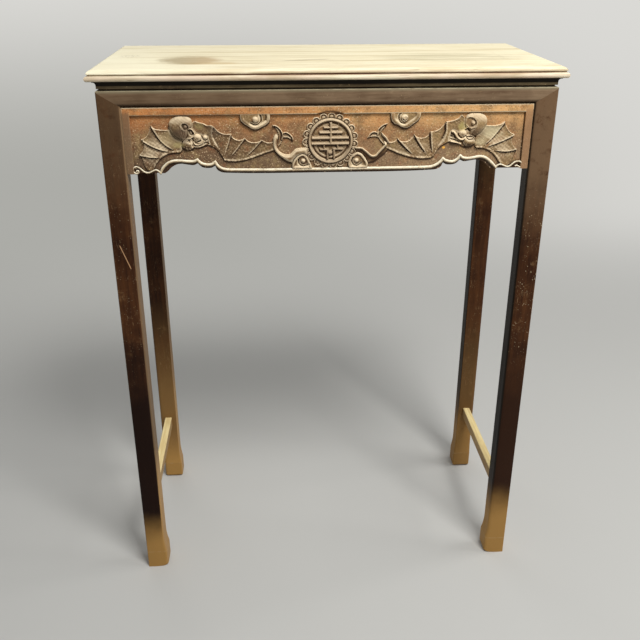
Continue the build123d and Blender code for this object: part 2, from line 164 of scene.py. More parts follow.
def start_finish(name):
    """A new finish: its material, its shader, and the place on the piece as a Tone."""
    material = bpy.data.materials.new(name)
    material.use_nodes = True
    tree = material.node_tree
    shader = tree.nodes["Principled BSDF"]
    coordinates = tree.nodes.new("ShaderNodeTexCoord")
    return material, shader, Tone(tree, coordinates.outputs["Object"])


def recolour(shader, colour):
    """Gives a shader its colour, in place of one that it had."""
    colour.tree.links.new(colour.socket, shader.inputs["Base Color"])


def finish_with(shader, colour, roughness, height, depth, specular=0.5):
    """Links a colour, a roughness and a bump height, whose full step is `depth` metres, to a shader."""
    shader.inputs["Specular IOR Level"].default_value = specular
    recolour(shader, colour)
    colour.tree.links.new(roughness.socket, shader.inputs["Roughness"])
    normal = height.node("ShaderNodeBump", {}, {"Strength": 1.0, "Distance": depth, "Height": height})
    colour.tree.links.new(normal.socket, shader.inputs["Normal"])


def grain_of(place, direction):
    """The place squeezed across the grain, so that a pattern runs out long in its direction."""
    long_way = 0.07
    return place.stretched(*[long_way if axis == direction else 1.0 for axis in "XYZ"])


def lacquered_wood(name, direction, deep, warm, rubbed, dust=0.75):
    """Old lacquer over hardwood: streaky, scratched, speckled with lime, dusty on upward faces."""
    material, shader, place = start_finish(name)
    grain = grain_of(place, direction)
    streak = grain.noise(170.0, 5.0, 0.65)
    cloud = place.noise(9.0, 4.0, 0.6)
    fine = grain.noise(620.0, 2.0, 0.5)
    rub = place.noise(34.0, 5.0, 0.7).rise(0.56, 0.74) * grain.noise(240.0, 3.0, 0.6).rise(0.4, 0.6)
    scratches = []
    for turn, gate in ((0.06, 0.715), (-0.32, 0.75), (0.5, 0.765)):
        lines = place.turned((turn, turn, turn * 0.6), (900.0, 900.0, 900.0))
        lines = grain_of(lines, direction).noise(1.0, 0.0).rise(gate, gate + 0.05)
        scratches.append(lines * place.noise(26.0, 2.0).rise(0.5, 0.6))
    scratch = scratches[0].at_least(scratches[1]).at_least(scratches[2])
    speck = place.cells(260.0).rise(0.2, 0.1) * place.noise(60.0, 2.0).rise(0.56, 0.66)
    settled = place.facing()[2].rise(0.25, 0.9) * dust * place.noise(75.0, 4.0, 0.6).rise(0.25, 0.6)
    colour = (streak * 0.55 + cloud * 0.75).rise(0.45, 0.85).blend(deep, warm).under(
        (fine.rise(0.55, 0.75) * 0.35, deep),
        (rub * 0.5, rubbed),
        (scratch * 0.4, (158, 128, 92)),
        (speck * 0.6, (196, 172, 128)),
        (settled, (214, 200, 165)),
    )
    roughness = (streak * 0.25 + 0.4 + scratch * 0.2 + settled * 0.35).at_most(0.95)
    height = streak * 0.5 + fine * 0.3 + scratch * -0.5 + speck * 0.3 + cloud * 0.4
    finish_with(shader, colour, roughness, height, 0.00035, 0.12)
    return material, colour, shader, place


def dress(material, *names):
    """Gives nodes of the CAD model a finish."""
    for name in names:
        nodes[name].material_slots[0].material = material


rubbed_lacquer = (138, 104, 68)
leg_finish, colour, shader, place = lacquered_wood(
    "leg_lacquer", "Z", (46, 23, 10), (84, 50, 25), rubbed_lacquer
)
foot_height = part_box("foot_front_left")[1].z
leg_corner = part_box("leg_front_right")
x, y, z = place.split()
arris = x.size().rise(leg_corner[1].x - 0.003, leg_corner[1].x - 0.001)
arris = arris * y.size().rise(-leg_corner[0].y - 0.003, -leg_corner[0].y - 0.001)
arris = arris * place.noise(30.0, 4.0, 0.7).rise(0.35, 0.6)
at_back = y.rise(-0.01, 0.01)
at_right = x.rise(-0.01, 0.01)
turned_x = place.facing()[0]
drift = (place.noise(9.0, 4.0, 0.6) - 0.5) * 0.2
low_down = (z + drift).rise(0.6, 0.4) * (1.0 - at_back) * 0.95
film = (z + drift + at_right * 0.07).rise(0.76, 0.97) * place.noise(50.0, 4.0, 0.7).rise(0.2, 0.5)
film_colour = at_back.blend(at_right.blend((92, 70, 48), (122, 96, 70)), (86, 68, 38))
# Painted light: the back legs pale in their lower half, as light cast up from the floor.
rear_painted_bounce = at_back * (z + drift).rise(0.5, 0.2) * (0.75 - at_right * 0.35)
# Painted light: the legs pale low down by the feet, as light cast up from the pale floor, and higher up on
# the sides of the left legs that face the light.
foot_reach = z + drift * 0.3 - (1.0 - at_right) * turned_x.rise(0.4, 0.8) * 0.16 - at_right * 0.04
painted_foot_bounce = foot_reach.rise(0.15, 0.05) * (1.0 - at_back * at_right * 0.4)
lime = place.cells(250.0).rise(0.25, 0.13) * place.noise(70.0, 3.0, 0.7).rise(0.5, 0.62)
lime = lime * z.rise(0.86, 0.76) * z.rise(0.42, 0.6) * (at_right * 0.55 + 0.35) * (1.0 - at_back)
# Painted shade on the right legs' sides that look left, away from the light, and painted light on the left
# legs' sides that look right, towards it.
shaded_side = at_right * turned_x.rise(-0.4, -0.8) * z.rise(0.1, 0.25)
painted_lit_side = (1.0 - at_right) * turned_x.rise(0.4, 0.8)
slip_x, slip_z = x + 0.3728, z - 0.7222
slip = (slip_x * 0.33 - slip_z * 0.944).size().rise(0.026, 0.022)
slip = slip * (slip_x * 0.944 + slip_z * 0.33).size().rise(0.0011, 0.0005) * y.rise(-0.183, -0.186)
joint_line = (z - foot_height).size().rise(0.0012, 0.0002) * place.noise(60.0, 3.0).rise(0.4, 0.55)
colour = colour.under(
    (arris * 0.6, rubbed_lacquer),
    (low_down, at_right.blend((24, 7, 2), (46, 24, 10))),
    (film * 0.8, film_colour),
    (rear_painted_bounce, (146, 112, 66)),
    (painted_foot_bounce * 0.9, (176, 134, 74)),
    (lime, (216, 196, 158)),
    (shaded_side * 0.85, (20, 17, 10)),
    (painted_lit_side * 0.42, (170, 140, 104)),
    (slip * 0.8, (206, 160, 116)),
    (joint_line * 0.5, (186, 160, 120)),
)
recolour(shader, colour)
for corner in ("front_left", "front_right", "back_left", "back_right"):
    dress(leg_finish, "leg_" + corner, "foot_" + corner)

# ----------------------------------------
# Stretchers. One flat bar low down at each end, of the same hardwood, tenoned into the legs.
# Its lacquer has gone from the top face, which is dusty and pale.
# ----------------------------------------

stretcher_finish, colour, shader, place = lacquered_wood(
    "stretcher_lacquer", "Y", (150, 118, 76), (176, 146, 100), (206, 182, 138), 0.5
)
bare = grain_of(place, "Y").noise(200.0, 3.0, 0.6).rise(0.3, 0.7)
bare = bare.blend((228, 202, 142), (250, 228, 168))
recolour(shader, colour.under((place.facing()[2].rise(0.3, 0.9) * 0.95, bare)))
dress(stretcher_finish, "stretcher_left", "stretcher_right")

# ----------------------------------------
# Rails and waist. Moulded hardwood bands mitred over the legs, and above them narrow coved
# strips under the top. Grey with dust film. Painted shade darkens the left end, the lower roll of
# each rail, the waist under the lip and the groove above the rail; a painted highlight pales the
# top of each rail.
# ----------------------------------------

rail_low, rail_high = [corner.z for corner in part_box("rail_front")]
waist_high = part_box("waist_front")[1].z
for direction, sides in (("X", ("front", "back")), ("Y", ("left", "right"))):
    rail_finish, colour, shader, place = lacquered_wood(
        "rail_lacquer_" + direction, direction, (96, 74, 54), (140, 116, 90), (162, 138, 108)
    )
    x, y, z = place.split()
    # Painted shade towards the left end, away from the light, and on the lower roll, which looks down; a
    # painted highlight along the top of the roll.
    painted_roll_shade = z.rise(rail_low + 0.0075, rail_low + 0.002) * z.rise(rail_low - 0.0012, rail_low - 0.0004)
    colour = colour.under(
        (x.rise(0.15, -0.35) * 0.4, (86, 66, 46)),
        (painted_roll_shade * 0.75, (50, 36, 22)),
        (z.rise(rail_high - 0.006, rail_high - 0.001) * 0.55, (138, 130, 104)),
    )
    recolour(shader, colour)
    waist_finish, colour, shader, place = lacquered_wood(
        "waist_lacquer_" + direction, direction, (62, 50, 34), (108, 94, 68), (124, 108, 82)
    )
    z = place.split()[2]
    # Painted shade: near black in the upper waist under the lip, and dark in the groove above the rail.
    colour = colour.under(
        (z.rise(waist_high - 0.0085, waist_high - 0.0065) * 0.92, (16, 11, 7)),
        (z.rise(rail_high + 0.0026, rail_high + 0.0012) * 0.8, (26, 18, 12)),
    )
    recolour(shader, colour)
    for side in sides:
        dress(rail_finish, "rail_" + side)
        dress(waist_finish, "waist_" + side)
        if side != "front":
            dress(rail_finish, "apron_" + side)

# ----------------------------------------
# Table top. Two boards held in a mitred edge frame, with a moulded edge. Bare, bleached wood
# under years of pale dust, with long grain streaks and one brown water stain near the front.
# ----------------------------------------

top_height = cad_high.z
top_finish, shader, place = start_finish("bleached_top")
grain, across = grain_of(place, "X"), grain_of(place, "Y")
x, y, z = place.split()
at_end = place.facing()[0].size().rise(0.6, 0.8)
streak = grain.noise(120.0, 6.0, 0.7) * (1.0 - at_end) + across.noise(120.0, 6.0, 0.7) * at_end
broad = grain.noise(34.0, 4.0, 0.6) * (1.0 - at_end) + across.noise(34.0, 4.0, 0.6) * at_end
ragged = place.noise(28.0, 4.0, 0.6) * 0.7 + streak * 0.5
torn = place.noise(13.0, 5.0, 0.7) * 2.6 + streak * 1.3


def spot(x, y, centre, half):
    """How far places lie from an oval spot, squared: 1 on the spot's edge."""
    return ((x - centre[0]) / half[0]) ** 2.0 + ((y - centre[1]) / half[1]) ** 2.0


tan = spot(x, y, (0.235, -0.045), (0.15, 0.075)) + ragged
behind_edge = y.rise(-0.1245, -0.1215)
trail = (spot(x, y, (-0.203, -0.114), (0.055, 0.024)) + ragged).rise(1.7, 0.9) * behind_edge
stain = (spot(x, y, (-0.246, -0.064), (0.052, 0.062)) + torn).rise(3.6, 2.2) * behind_edge
peppered = spot(x, y, (-0.3615, 0.001), (0.02, 0.022)).rise(1.4, 0.4)
peppered = peppered * place.noise(300.0, 2.0).rise(0.5, 0.62)
crack = (y + 0.062 - x * 0.25).size().rise(0.006, 0.002) * x.rise(-0.085, -0.07) * x.rise(0.012, -0.005)
pits = grain.noise(420.0, 2.0).rise(0.7, 0.78)
patchy = grain.noise(60.0, 4.0, 0.7).rise(0.35, 0.6)
slope = z.rise(top_height - 0.0015, top_height - 0.0065)
groove = (z - (top_height - 0.0086)).size().rise(0.0018, 0.0006)
blush = z.rise(top_height - 0.0094, top_height - 0.0108) * place.noise(20.0, 3.0).rise(0.3, 0.7)
colour = streak.rise(0.35, 0.75).blend((246, 236, 204), (226, 212, 172)).under(
    (broad.rise(0.5, 0.7) * 0.7, (202, 182, 138)),
    (tan.rise(1.7, 0.8) * streak.rise(0.35, 0.6) * 0.75, (198, 188, 154)),
    (y.rise(-0.09, -0.17) * streak.rise(0.35, 0.65) * 0.5, (208, 186, 146)),
    ((x + 0.6 * y).rise(-0.2, -0.42) * 0.5, (254, 248, 218)),
    (trail * 0.45, (206, 176, 126)),
    (stain * 0.75, x.rise(-0.275, -0.19).blend((162, 142, 102), (188, 158, 114))),
    (peppered * 0.5, (150, 136, 108)),
    (crack * streak.rise(0.3, 0.6) * 0.7, (140, 120, 84)),
    (pits * 0.6, (150, 122, 84)),
    (slope * 0.6 * patchy, (170, 140, 108)),
    (groove * (patchy * 0.55 + 0.4), (112, 70, 46)),
    (blush * 0.4, (250, 222, 200)),
    # Painted shade under the lip, on the underside of the top.
    (z.rise(top_height - 0.0172, top_height - 0.0188) * 0.9, (70, 52, 36)),
)
height = streak * 0.6 + broad * 0.5 - pits * 0.7 - stain * 0.15
finish_with(shader, colour, streak * 0.1 + 0.78, height, 0.0005, 0.25)
dress(top_finish, *["top_frame_" + side for side in ("front", "back", "left", "right")])
dress(top_finish, "top_board_front", "top_board_back")

# ----------------------------------------
# Battens and dowels. Plain unfinished hardwood, hidden under the boards and inside the feet.
# ----------------------------------------

raw_finish = lacquered_wood("raw_wood", "Y", (96, 70, 46), (140, 108, 74), (160, 130, 94), 0.3)[0]
dress(raw_finish, "top_batten_left", "top_batten_middle", "top_batten_right", "foot_dowels")

# ----------------------------------------
# Carved front apron. One hardwood board: a flat border round a sunk ground, a half-round bead
# along the scalloped lower edge, and two bats, clouds and a long-life roundel carved in relief.
# ----------------------------------------

board_low, board_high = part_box("apron_front")
tongue = 0.008
tongue_rise = 0.010
board_half = (board_high.x - tongue) / mm
board_top = (board_high.z - tongue_rise - board_low.z) / mm
border_side = 12.5
border_top = 13.5
ground_depth = 5.0
wall_run = 0.6


def smooth(points, gap=0.8):
    """Points a gap apart on the smooth curve through a few points; two points make a straight run."""
    p = np.array(points, float)
    if len(p) == 2:
        count = max(2, int(np.linalg.norm(p[1] - p[0]) / gap) + 1)
        return p[0] + (p[1] - p[0]) * np.linspace(0, 1, count)[:, None]
    p = np.vstack([2 * p[0] - p[1], p, 2 * p[-1] - p[-2]])
    out = []
    for a, b, c, d in zip(p, p[1:], p[2:], p[3:]):
        count = max(2, int(np.linalg.norm(c - b) / gap) + 1)
        t = np.linspace(0, 1, count, endpoint=False)[:, None]
        steps = [max(np.linalg.norm(v - u), 1e-6) ** 0.5 for u, v in ((a, b), (b, c), (c, d))]
        k0, k1, k2, k3 = np.cumsum([0] + steps)
        t = k1 + (k2 - k1) * t
        ab = (k1 - t) / (k1 - k0) * a + (t - k0) / (k1 - k0) * b
        bc = (k2 - t) / (k2 - k1) * b + (t - k1) / (k2 - k1) * c
        cd = (k3 - t) / (k3 - k2) * c + (t - k2) / (k3 - k2) * d
        abc = (k2 - t) / (k2 - k0) * ab + (t - k0) / (k2 - k0) * bc
        bcd = (k3 - t) / (k3 - k1) * bc + (t - k1) / (k3 - k1) * cd
        out.append((k2 - t) / (k2 - k1) * abc + (t - k1) / (k2 - k1) * bcd)
    out.append(p[-2][None])
    return np.vstack(out)


def linked(start, *runs):
    """The runs, each with a first point added where the one before it ends."""
    starts = [start] + [run[-1] for run in runs[:-1]]
    return [[first, *run] for first, run in zip(starts, runs)]


def trace(start, *runs):
    """A closed outline: smooth runs that meet at corners. Each run starts where the one before ended."""
    return np.vstack([smooth(run)[:-1] for run in linked(start, *runs, [start]) if run[0] != run[-1]])


def ring_of(points):
    """A closed smooth outline without corners."""
    wide = smooth([*points[-3:], *points, *points[:3]])
    first = np.argmin(np.linalg.norm(wide - points[0], axis=1))
    last = len(wide) - 1 - np.argmin(np.linalg.norm(wide[::-1] - points[0], axis=1))
    return wide[first:last]


def circle(x, h, radius, count):
    angle = np.linspace(0, 2 * math.pi, count, endpoint=False)
    return np.stack([x + radius * np.cos(angle), h + radius * np.sin(angle)], 1)


def distance(points, line, closed=False):
    """Distance from each point to a run of straight pieces."""
    a = line if closed else line[:-1]
    b = np.roll(line, -1, 0) if closed else line[1:]
    best = np.full(len(points), 1e9)
    for p, q in zip(a, b):
        d = q - p
        t = np.clip(((points - p) @ d) / max(d @ d, 1e-12), 0, 1)
        gap = points - p - t[:, None] * d
        best = np.minimum(best, np.einsum("ij,ij->i", gap, gap))
    return np.sqrt(best)


def inside(points, outline):
    """Which points lie within a closed outline."""
    x, h = points[:, 0], points[:, 1]
    odd = np.zeros(len(points), bool)
    for (ax, ah), (bx, bh) in zip(outline, np.roll(outline, -1, 0)):
        if ah == bh:
            continue
        crosses = (ah > h) != (bh > h)
        odd ^= crosses & (x < (bx - ax) * (h - ah) / (bh - ah) + ax)
    return odd


def clip01(values):
    return np.clip(values, 0, 1)


def lattice(outline, spacing):
    """Staggered points that fill an outline, kept clear of its edge."""
    low, high = outline.min(0), outline.max(0)
    rows = np.arange(low[1] + spacing / 2, high[1], spacing * 0.866)
    points = []
    for n, h in enumerate(rows):
        x = np.arange(low[0] + spacing * (0.25 + 0.5 * (n % 2)), high[0], spacing)
        points.append(np.stack([x, np.full(len(x), h)], 1))
    points = np.vstack(points)
    points = points[inside(points, outline)]
    return points[distance(points, outline, True) > spacing * 0.55]


def weave(outline, inner, lines=()):
    """Triangles between an outline, loose points within it and lines that the triangles follow."""
    points = [*outline, *inner]
    edges = []
    for line in lines:
        first = len(points)
        points.extend(line)
        edges.extend((first + n, first + n + 1) for n in range(len(line) - 1))
    vectors = [Vector((float(p[0]), float(p[1]))) for p in points]
    made = delaunay_2d_cdt(vectors, edges, [list(range(len(outline)))], 1, 1e-5)
    return np.array([tuple(v) for v in made[0]]), [tuple(f) for f in made[2]]


class Shell:
    """Carved relief as one closed skin: a shaped face, walls round its outline and a flat back."""

    def __init__(self):
        self.points, self.faces, self.worn, self.painted_light_and_shade = [], [], [], []

    def add(
        self, outline, height, back, spacing, lines=(), undercut=0.0, soften=0.0, loose=None, wear_and_painted_light=None
    ):
        """Adds a face shaped by `height` over an outline, with walls down to a flat back."""
        x, h = outline.T
        if np.sum(x * np.roll(h, -1) - h * np.roll(x, -1)) < 0:
            outline = outline[::-1]
        inner = lattice(outline, spacing) if loose is None else loose
        for line in lines:
            inner = inner[distance(inner, line) > spacing * 0.4]
        flat, faces = weave(outline, inner, lines)
        level = height(flat)
        top = level
        if soften:
            top = level * np.sqrt(clip01(distance(flat, outline, True) / soften + 0.1))
        base = sum(len(p) for p in self.points)
        self.points.append(np.stack([flat[:, 0], top, flat[:, 1]], 1))
        self.faces.extend((base + a, base + b, base + c) for a, b, c in faces)
        worn, painted_light_and_shade = self.wear_and_painted_light(flat, level, faces) if wear_and_painted_light is None else (wear_and_painted_light(flat), np.zeros(len(flat)))
        self.worn.append(worn)
        self.painted_light_and_shade.append(painted_light_and_shade)
        rim = self.boundary(faces)
        place = flat[rim]
        along = np.roll(place, -1, 0) - np.roll(place, 1, 0)
        inward = np.stack([-along[:, 1], along[:, 0]], 1)
        inward /= np.maximum(np.linalg.norm(inward, axis=1), 1e-9)[:, None]
        foot = place + inward * undercut
        start = base + len(flat)
        self.points.append(np.stack([foot[:, 0], np.full(len(rim), back), foot[:, 1]], 1))
        self.worn.append(np.zeros(len(rim)))
        self.painted_light_and_shade.append(np.zeros(len(rim)))
        count = len(rim)
        for n in range(count):
            m = (n + 1) % count
            self.faces.append((base + rim[m], base + rim[n], start + n, start + m))
        back_flat, back_faces = weave(foot, np.empty((0, 2)))
        if len(back_flat) == count:
            self.faces.extend((start + c, start + b, start + a) for a, b, c in back_faces)
        else:
            self.faces.append(tuple(start + n for n in reversed(range(count))))

    def boundary(self, faces):
        """The rim of the triangles, in order, anticlockwise."""
        follows = {}
        sides = set()
        for a, b, c in faces:
            sides.update(((a, b), (b, c), (c, a)))
        for a, b in sides:
            if (b, a) not in sides:
                follows[a] = b
        first = next(iter(follows))
        loop = [first]
        while follows[loop[-1]] != first:
            loop.append(follows[loop[-1]])
        return loop

    def wear_and_painted_light(self, flat, top, faces):
        """How proud each point stands of what lies close by, with painted shade in the hollows except
        where they look up towards the light, and painted light and shade by how it slopes to that light.
        """
        sides = np.array([(f[n], f[(n + 1) % 3]) for f in faces for n in range(3)])
        start, end = sides.ravel("F"), sides[:, ::-1].ravel("F")
        count = np.maximum(np.bincount(start, minlength=len(top)), 1)

        def spread(values, passes):
            for _ in range(passes):
                values = 0.5 * values + 0.5 * np.bincount(start, values[end], len(values)) / count
            return values

        step = flat[end] - flat[start]
        # The slope towards light from above and a little to the right, for painted light and shade.
        climb = (top[end] - top[start]) * (step @ (0.3, 0.95)) / np.maximum((step**2).sum(1), 0.05)
        climb = spread(2.0 * np.bincount(start, climb, len(top)) / count, 3)
        near, far = top - spread(top, 6), top - spread(top, 32)
        worn = np.clip((0.4 * near + 0.75 * far) / 0.6, -1, 1)
        worn = np.where(worn < 0, worn * clip01(1.0 + climb / 0.12), worn)
        broad = np.clip((top - spread(top, 160)) / 1.5, -1, 1)
        # The second value is painted light and shade: pale where the surface looks up towards the light,
        # dark where it looks down, and a little paler where it stands broadly proud.
        return worn, np.clip(0.1 * broad - np.clip(spread(climb, 24) / 0.28, -1, 1), -1, 1)

    def mark(self, mesh):
        """Stores for each point its wear and painted shade, and its painted light and shade by slope."""
        for label, values in (("worn", self.worn), ("painted_light_and_shade", self.painted_light_and_shade)):
            mesh.attributes.new(label, "FLOAT", "POINT").data.foreach_set("value", np.concatenate(values))

    def build(self, name, finish):
        """Makes the piece: heights stand out from the sunk ground, towards the front."""
        points = np.vstack(self.points)
        world = set_out(points[:, [0, 2]], points[:, 1])
        mesh = bpy.data.meshes.new(name)
        mesh.from_pydata(world, [], self.faces)
        mesh.validate()
        mesh.polygons.foreach_set("use_smooth", [True] * len(mesh.polygons))
        mesh.set_sharp_from_angle(angle=math.radians(48))
        self.mark(mesh)
        mesh.materials.append(finish)
        return on_board(new_object(name, mesh))


def new_object(name, data):
    made = bpy.data.objects.new(name, data)
    bpy.context.scene.collection.objects.link(made)
    return made


def on_board(piece):
    """Files a piece as carved wood that stays with the table."""
    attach(piece, "root")
    return piece


def set_out(points, levels):
    """Places on the board as metres in the world, at their heights over the sunk ground."""
    return [
        (x * mm, board_low.y + (ground_depth - level) * mm, board_low.z + h * mm)
        for (x, h), level in zip(points, levels)
    ]


def level_out(y):
    """0 down on the sunk ground, 1 out on the face of the reliefs."""
    return ((board_low.y + ground_depth * mm - y) / mm).rise(1.4, 2.8)


def carved_finish(name, left, right, pale, worn_share=0.6, dust=0.6, sunk_share=0.0):
    """Carved wood: dirt and painted shade lie in the hollows and on slopes that look down, dust and
    a painted highlight pale slopes that look up, and dust and touch have paled whatever stands proud.

    Left and right are three colours each, from the lower edge up, for either end of the board.
    """
    material, shader, place = start_finish(name)
    grain = grain_of(place, "X")
    streak = grain.noise(150.0, 5.0, 0.65)
    cloud = place.noise(16.0, 4.0, 0.6)
    x, y, z = place.split()
    up = (z - board_low.z) / (board_top * mm) + (cloud - 0.5) * 0.45
    ends = []
    for colours in (left, right):
        ends.append(up.node("ShaderNodeValToRGB", {}, {0: up}))
        set_stops(ends[-1].socket.node.color_ramp, (0.25, 0.6, 0.92), colours)
    red = place.noise(64.0, 5.0, 0.75).rise(0.52, 0.68)
    bloom = place.noise(47.0, 5.0, 0.75).rise(0.48, 0.66)
    shade = place.noise(38.0, 4.0, 0.7).rise(0.52, 0.3)
    sand = place.noise(430.0, 3.0, 0.6)
    level = (board_low.y + ground_depth * mm - y) / mm
    painted_light_and_shade = place.node("ShaderNodeAttribute", {"attribute_name": "painted_light_and_shade"}, {}, 2)
    worn = place.node("ShaderNodeAttribute", {"attribute_name": "worn"}, {}, 2)
    facing = place.facing()[2]
    settled = facing.rise(0.03, 0.5) * place.noise(110.0, 3.0).rise(0.2, 0.55) * dust
    proud = (worn + (place.noise(90.0, 3.0) - 0.5) * 0.4).rise(0.12, 0.75)
    hollow = (worn + (place.noise(70.0, 3.0) - 0.5) * 0.25).rise(-0.1, -0.75)
    speck = place.cells(230.0).rise(0.3, 0.14) * place.noise(42.0, 2.0).rise(0.46, 0.56)
    # From the left end's colours to the right's: the left are darker, partly as painted shade, since the
    # light falls from the right.
    colour = (x + (cloud - 0.5) * 0.2).rise(-0.32, 0.3).blend(*ends).under(
        (streak.rise(0.42, 0.72) * 0.3, (104, 78, 54)),
        (red * 0.4, (166, 98, 58)),
        (bloom * 0.4, (178, 152, 102)),
        (shade * 0.5, (84, 62, 42)),
        (sand.rise(0.54, 0.68) * 0.4, (228, 196, 150)),
        (sand.rise(0.44, 0.32) * 0.5, (60, 40, 26)),
        # Painted shade: darker low down at the foot of each relief.
        (level.rise(3.4, 0.6) * sunk_share, (70, 50, 32)),
        # Painted highlight and painted shade, by how each point slopes to the light.
        (painted_light_and_shade.rise(0.08, 0.9) * 0.4, pale),
        (painted_light_and_shade.rise(-0.08, -0.9) * 0.75, (66, 41, 20)),
        # Dust, and a painted highlight, on slopes that look up.
        (settled, pale),
        # Painted shade on slopes that look down.
        (facing.rise(-0.03, -0.5) * 0.7, (56, 32, 14)),
        (proud * worn_share, pale),
        # Dirt and painted shade in the hollows, below what stands on the ground and at the feet of walls.
        (hollow * 0.82, (50, 25, 9)),
        (speck * 0.7, (236, 204, 162)),
    )
    fine = grain.noise(520.0, 3.0, 0.6)
    roughness = streak * 0.2 + 0.5 + settled * 0.2
    height = streak * 0.5 + fine * 0.35 + speck * 0.4 + sand * 0.6
    finish_with(shader, colour, roughness.at_most(0.95), height, 0.0004, 0.25)
    return material, colour, shader, place


relief_finish, colour, shader, place = carved_finish(
    "carved_relief",
    [(106, 80, 54), (122, 94, 62), (142, 112, 72)],
    [(150, 120, 82), (166, 136, 92), (170, 138, 92)],
    (248, 225, 186),
    0.5,
    0.8,
    0.3,
)
x, y, z = place.split()
ragged = place.noise(60.0, 4.0, 0.7) * 1.2
# Patches of tone over the reliefs; the dark ones low on each crest, at -258, 66 and 257, 64, are painted
# shade under the domes.
for patch_x, patch_h, wide, tall, share, tint in (
    (283, 66, 24, 13, 0.6, (226, 212, 172)),
    (266, 50, 12, 8, 0.5, (222, 206, 164)),
    (-277, 60, 24, 15, 0.5, (182, 160, 116)),
    (-262, 50, 10, 6, 0.5, (196, 178, 120)),
    (-201, 71, 13, 11, 0.6, (84, 72, 58)),
    (-226, 82, 9, 7, 0.4, (176, 158, 104)),
    (233, 76, 9, 9, 0.5, (190, 178, 104)),
    (0.3, 53, 50, 50, 0.45, (118, 88, 60)),
    (0.3, 28, 46, 22, 0.3, (96, 70, 50)),
    (-256, 80, 24, 22, 0.35, (126, 102, 74)),
    (-258, 66, 19, 15, 0.7, (78, 58, 44)),
    (-249, 81, 8, 8, 0.6, (104, 76, 60)),
    (241, 83, 8, 8, 0.45, (140, 104, 70)),
    (256, 80, 24, 22, 0.35, (164, 134, 96)),
    (257, 64, 17, 14, 0.55, (108, 82, 58)),
):
    away = spot(x / mm, z / mm - board_low.z / mm, (patch_x, patch_h), (wide, tall))
    colour = colour.under(((away + ragged).rise(2.0, 0.7) * share * level_out(y), tint))
recolour(shader, colour)

# The board: places are millimetres outwards from the middle and up from the lower edge.
lower_edge = linked(
    (355, 0),
    [(290, 0)],
    [(284.6, 3.8), (277, 10.8), (269, 15), (260.6, 16.2), (249.4, 14.6), (239, 13.6), (232, 16.6)],
    [(225.3, 10.2), (217.9, 8.2), (208, 8.6), (202, 11.8)],
    [(198.4, 4.6), (191.2, 0.4), (184, -0.8)],
    [(150, -2), (110, -2.6), (0, -2.6)],
)
edge_gap = 1.2
half_edge = np.vstack([smooth(run, edge_gap)[:-1] for run in lower_edge])
full_edge = np.vstack([half_edge, lower_edge[-1][-1:], half_edge[::-1] * (-1, 1)])
upper_edge = smooth([(board_half, board_top), (-board_half, board_top)], 3.0)
board_outline = np.vstack([full_edge[::-1], upper_edge])
recess_side = board_half - border_side
recess_top = board_top - border_top
roundel = (0.3, 53.0)


def ripple(points, size):
    """Shallow marks of the gouge: soft uneven waves."""
    x, h = points[:, 0], points[:, 1]
    wave = np.sin(x * 0.83 + 1.7 * np.sin(h * 0.21)) * np.sin(h * 0.9 + 1.3 * np.sin(x * 0.17))
    wave += 0.6 * np.sin(x * 0.31 + h * 0.47) * np.sin(h * 0.37 - x * 0.11 + 2.0)
    return size * wave


# ----------------------------------------
# Bead of the carved apron. A half-round left standing along the scalloped lower edge, pointed at
# its cusps, that ends in a small scroll beside each leg. It is of one piece with the board.
# ----------------------------------------

bead_finish = carved_finish(
    "carved_bead",
    [(216, 194, 156), (220, 198, 158), (220, 198, 158)],
    [(238, 222, 188), (240, 224, 190), (240, 224, 190)],
    (252, 242, 214),
    0.6,
    1.0,
)[0]
bead_runs = linked(
    (-343.6, 10.2),
    [(-339.6, 12.7), (-333.8, 10.9), (-329.8, 7.4), (-324.7, 3.3), (-318.7, 1.8), (-313, 3.4), (-308, 6.1)],
    [(-303.9, 6.5), (-300, 3.9), (-297.4, 0.6)],
    [(-294.1, 7.2), (-288.6, 13.5), (-281.9, 18.6), (-274.1, 21.2), (-262.7, 21.7), (-250.3, 20.5),
     (-238.9, 20.2), (-232.3, 22.6)],
    [(-229.4, 19.4), (-224.6, 16), (-215.3, 13.9), (-207.2, 14.8), (-201.6, 18.4)],
    [(-198.8, 13.6), (-193.6, 8.8), (-184, 5.2), (-174, 4.3)],
    [(-143, 3.8), (-106, 3.2), (-51.5, 3.4), (0, 3.3), (54.5, 3.6), (113.4, 3.7), (168, 4)],
    [(178.1, 4.6), (183.4, 5.6), (192.4, 9.8), (198.4, 14.8), (201.6, 18.9)],
    [(204.6, 16.4), (210.5, 14.4), (218.6, 13.4), (225.6, 16.2), (232.6, 23.4)],
    [(236.4, 20.4), (243.3, 18.9), (253.8, 19.6), (266.8, 21.9), (274.4, 20.8), (282, 17), (289.1, 10.8),
     (297.9, 2)],
    [(300.4, 6), (305, 7.8), (309.6, 6.6), (315.7, 4)],
    [(320, 3.6), (324.2, 5.2), (328.4, 9.2), (333.6, 12.4), (339.3, 12.6), (343.3, 10.6), (345.8, 6.6),
     (347.2, 2.2)],
)
left_curl = [
    (-343.6, 10.2), (-344.2, 6), (-342.2, 1.9), (-338.4, 0.6), (-335.2, 2.4), (-335.6, 5.2), (-338.2, 5.4),
    (-338.8, 3.6),
]
right_curl = [(341.8, 1.6), (338.8, 3.6), (335.2, 5.4), (332.8, 4.2)]


def edge_path(runs):
    """One line of points through the runs, and how much wider the bead is at each corner."""
    points, gain = [], []
    for run in runs:
        line = smooth(run, edge_gap)
        points.extend(line[1:] if points else line)
    points = np.array(points)
    step = np.diff(points, axis=0)
    step /= np.linalg.norm(step, axis=1)[:, None]
    for n in range(len(points)):
        a, b = step[max(n - 1, 0)], step[min(n, len(step) - 1)]
        gain.append(1 / max(math.sqrt(max((1 + float(a @ b)) / 2, 0.0)), 0.72))
    return points, gain


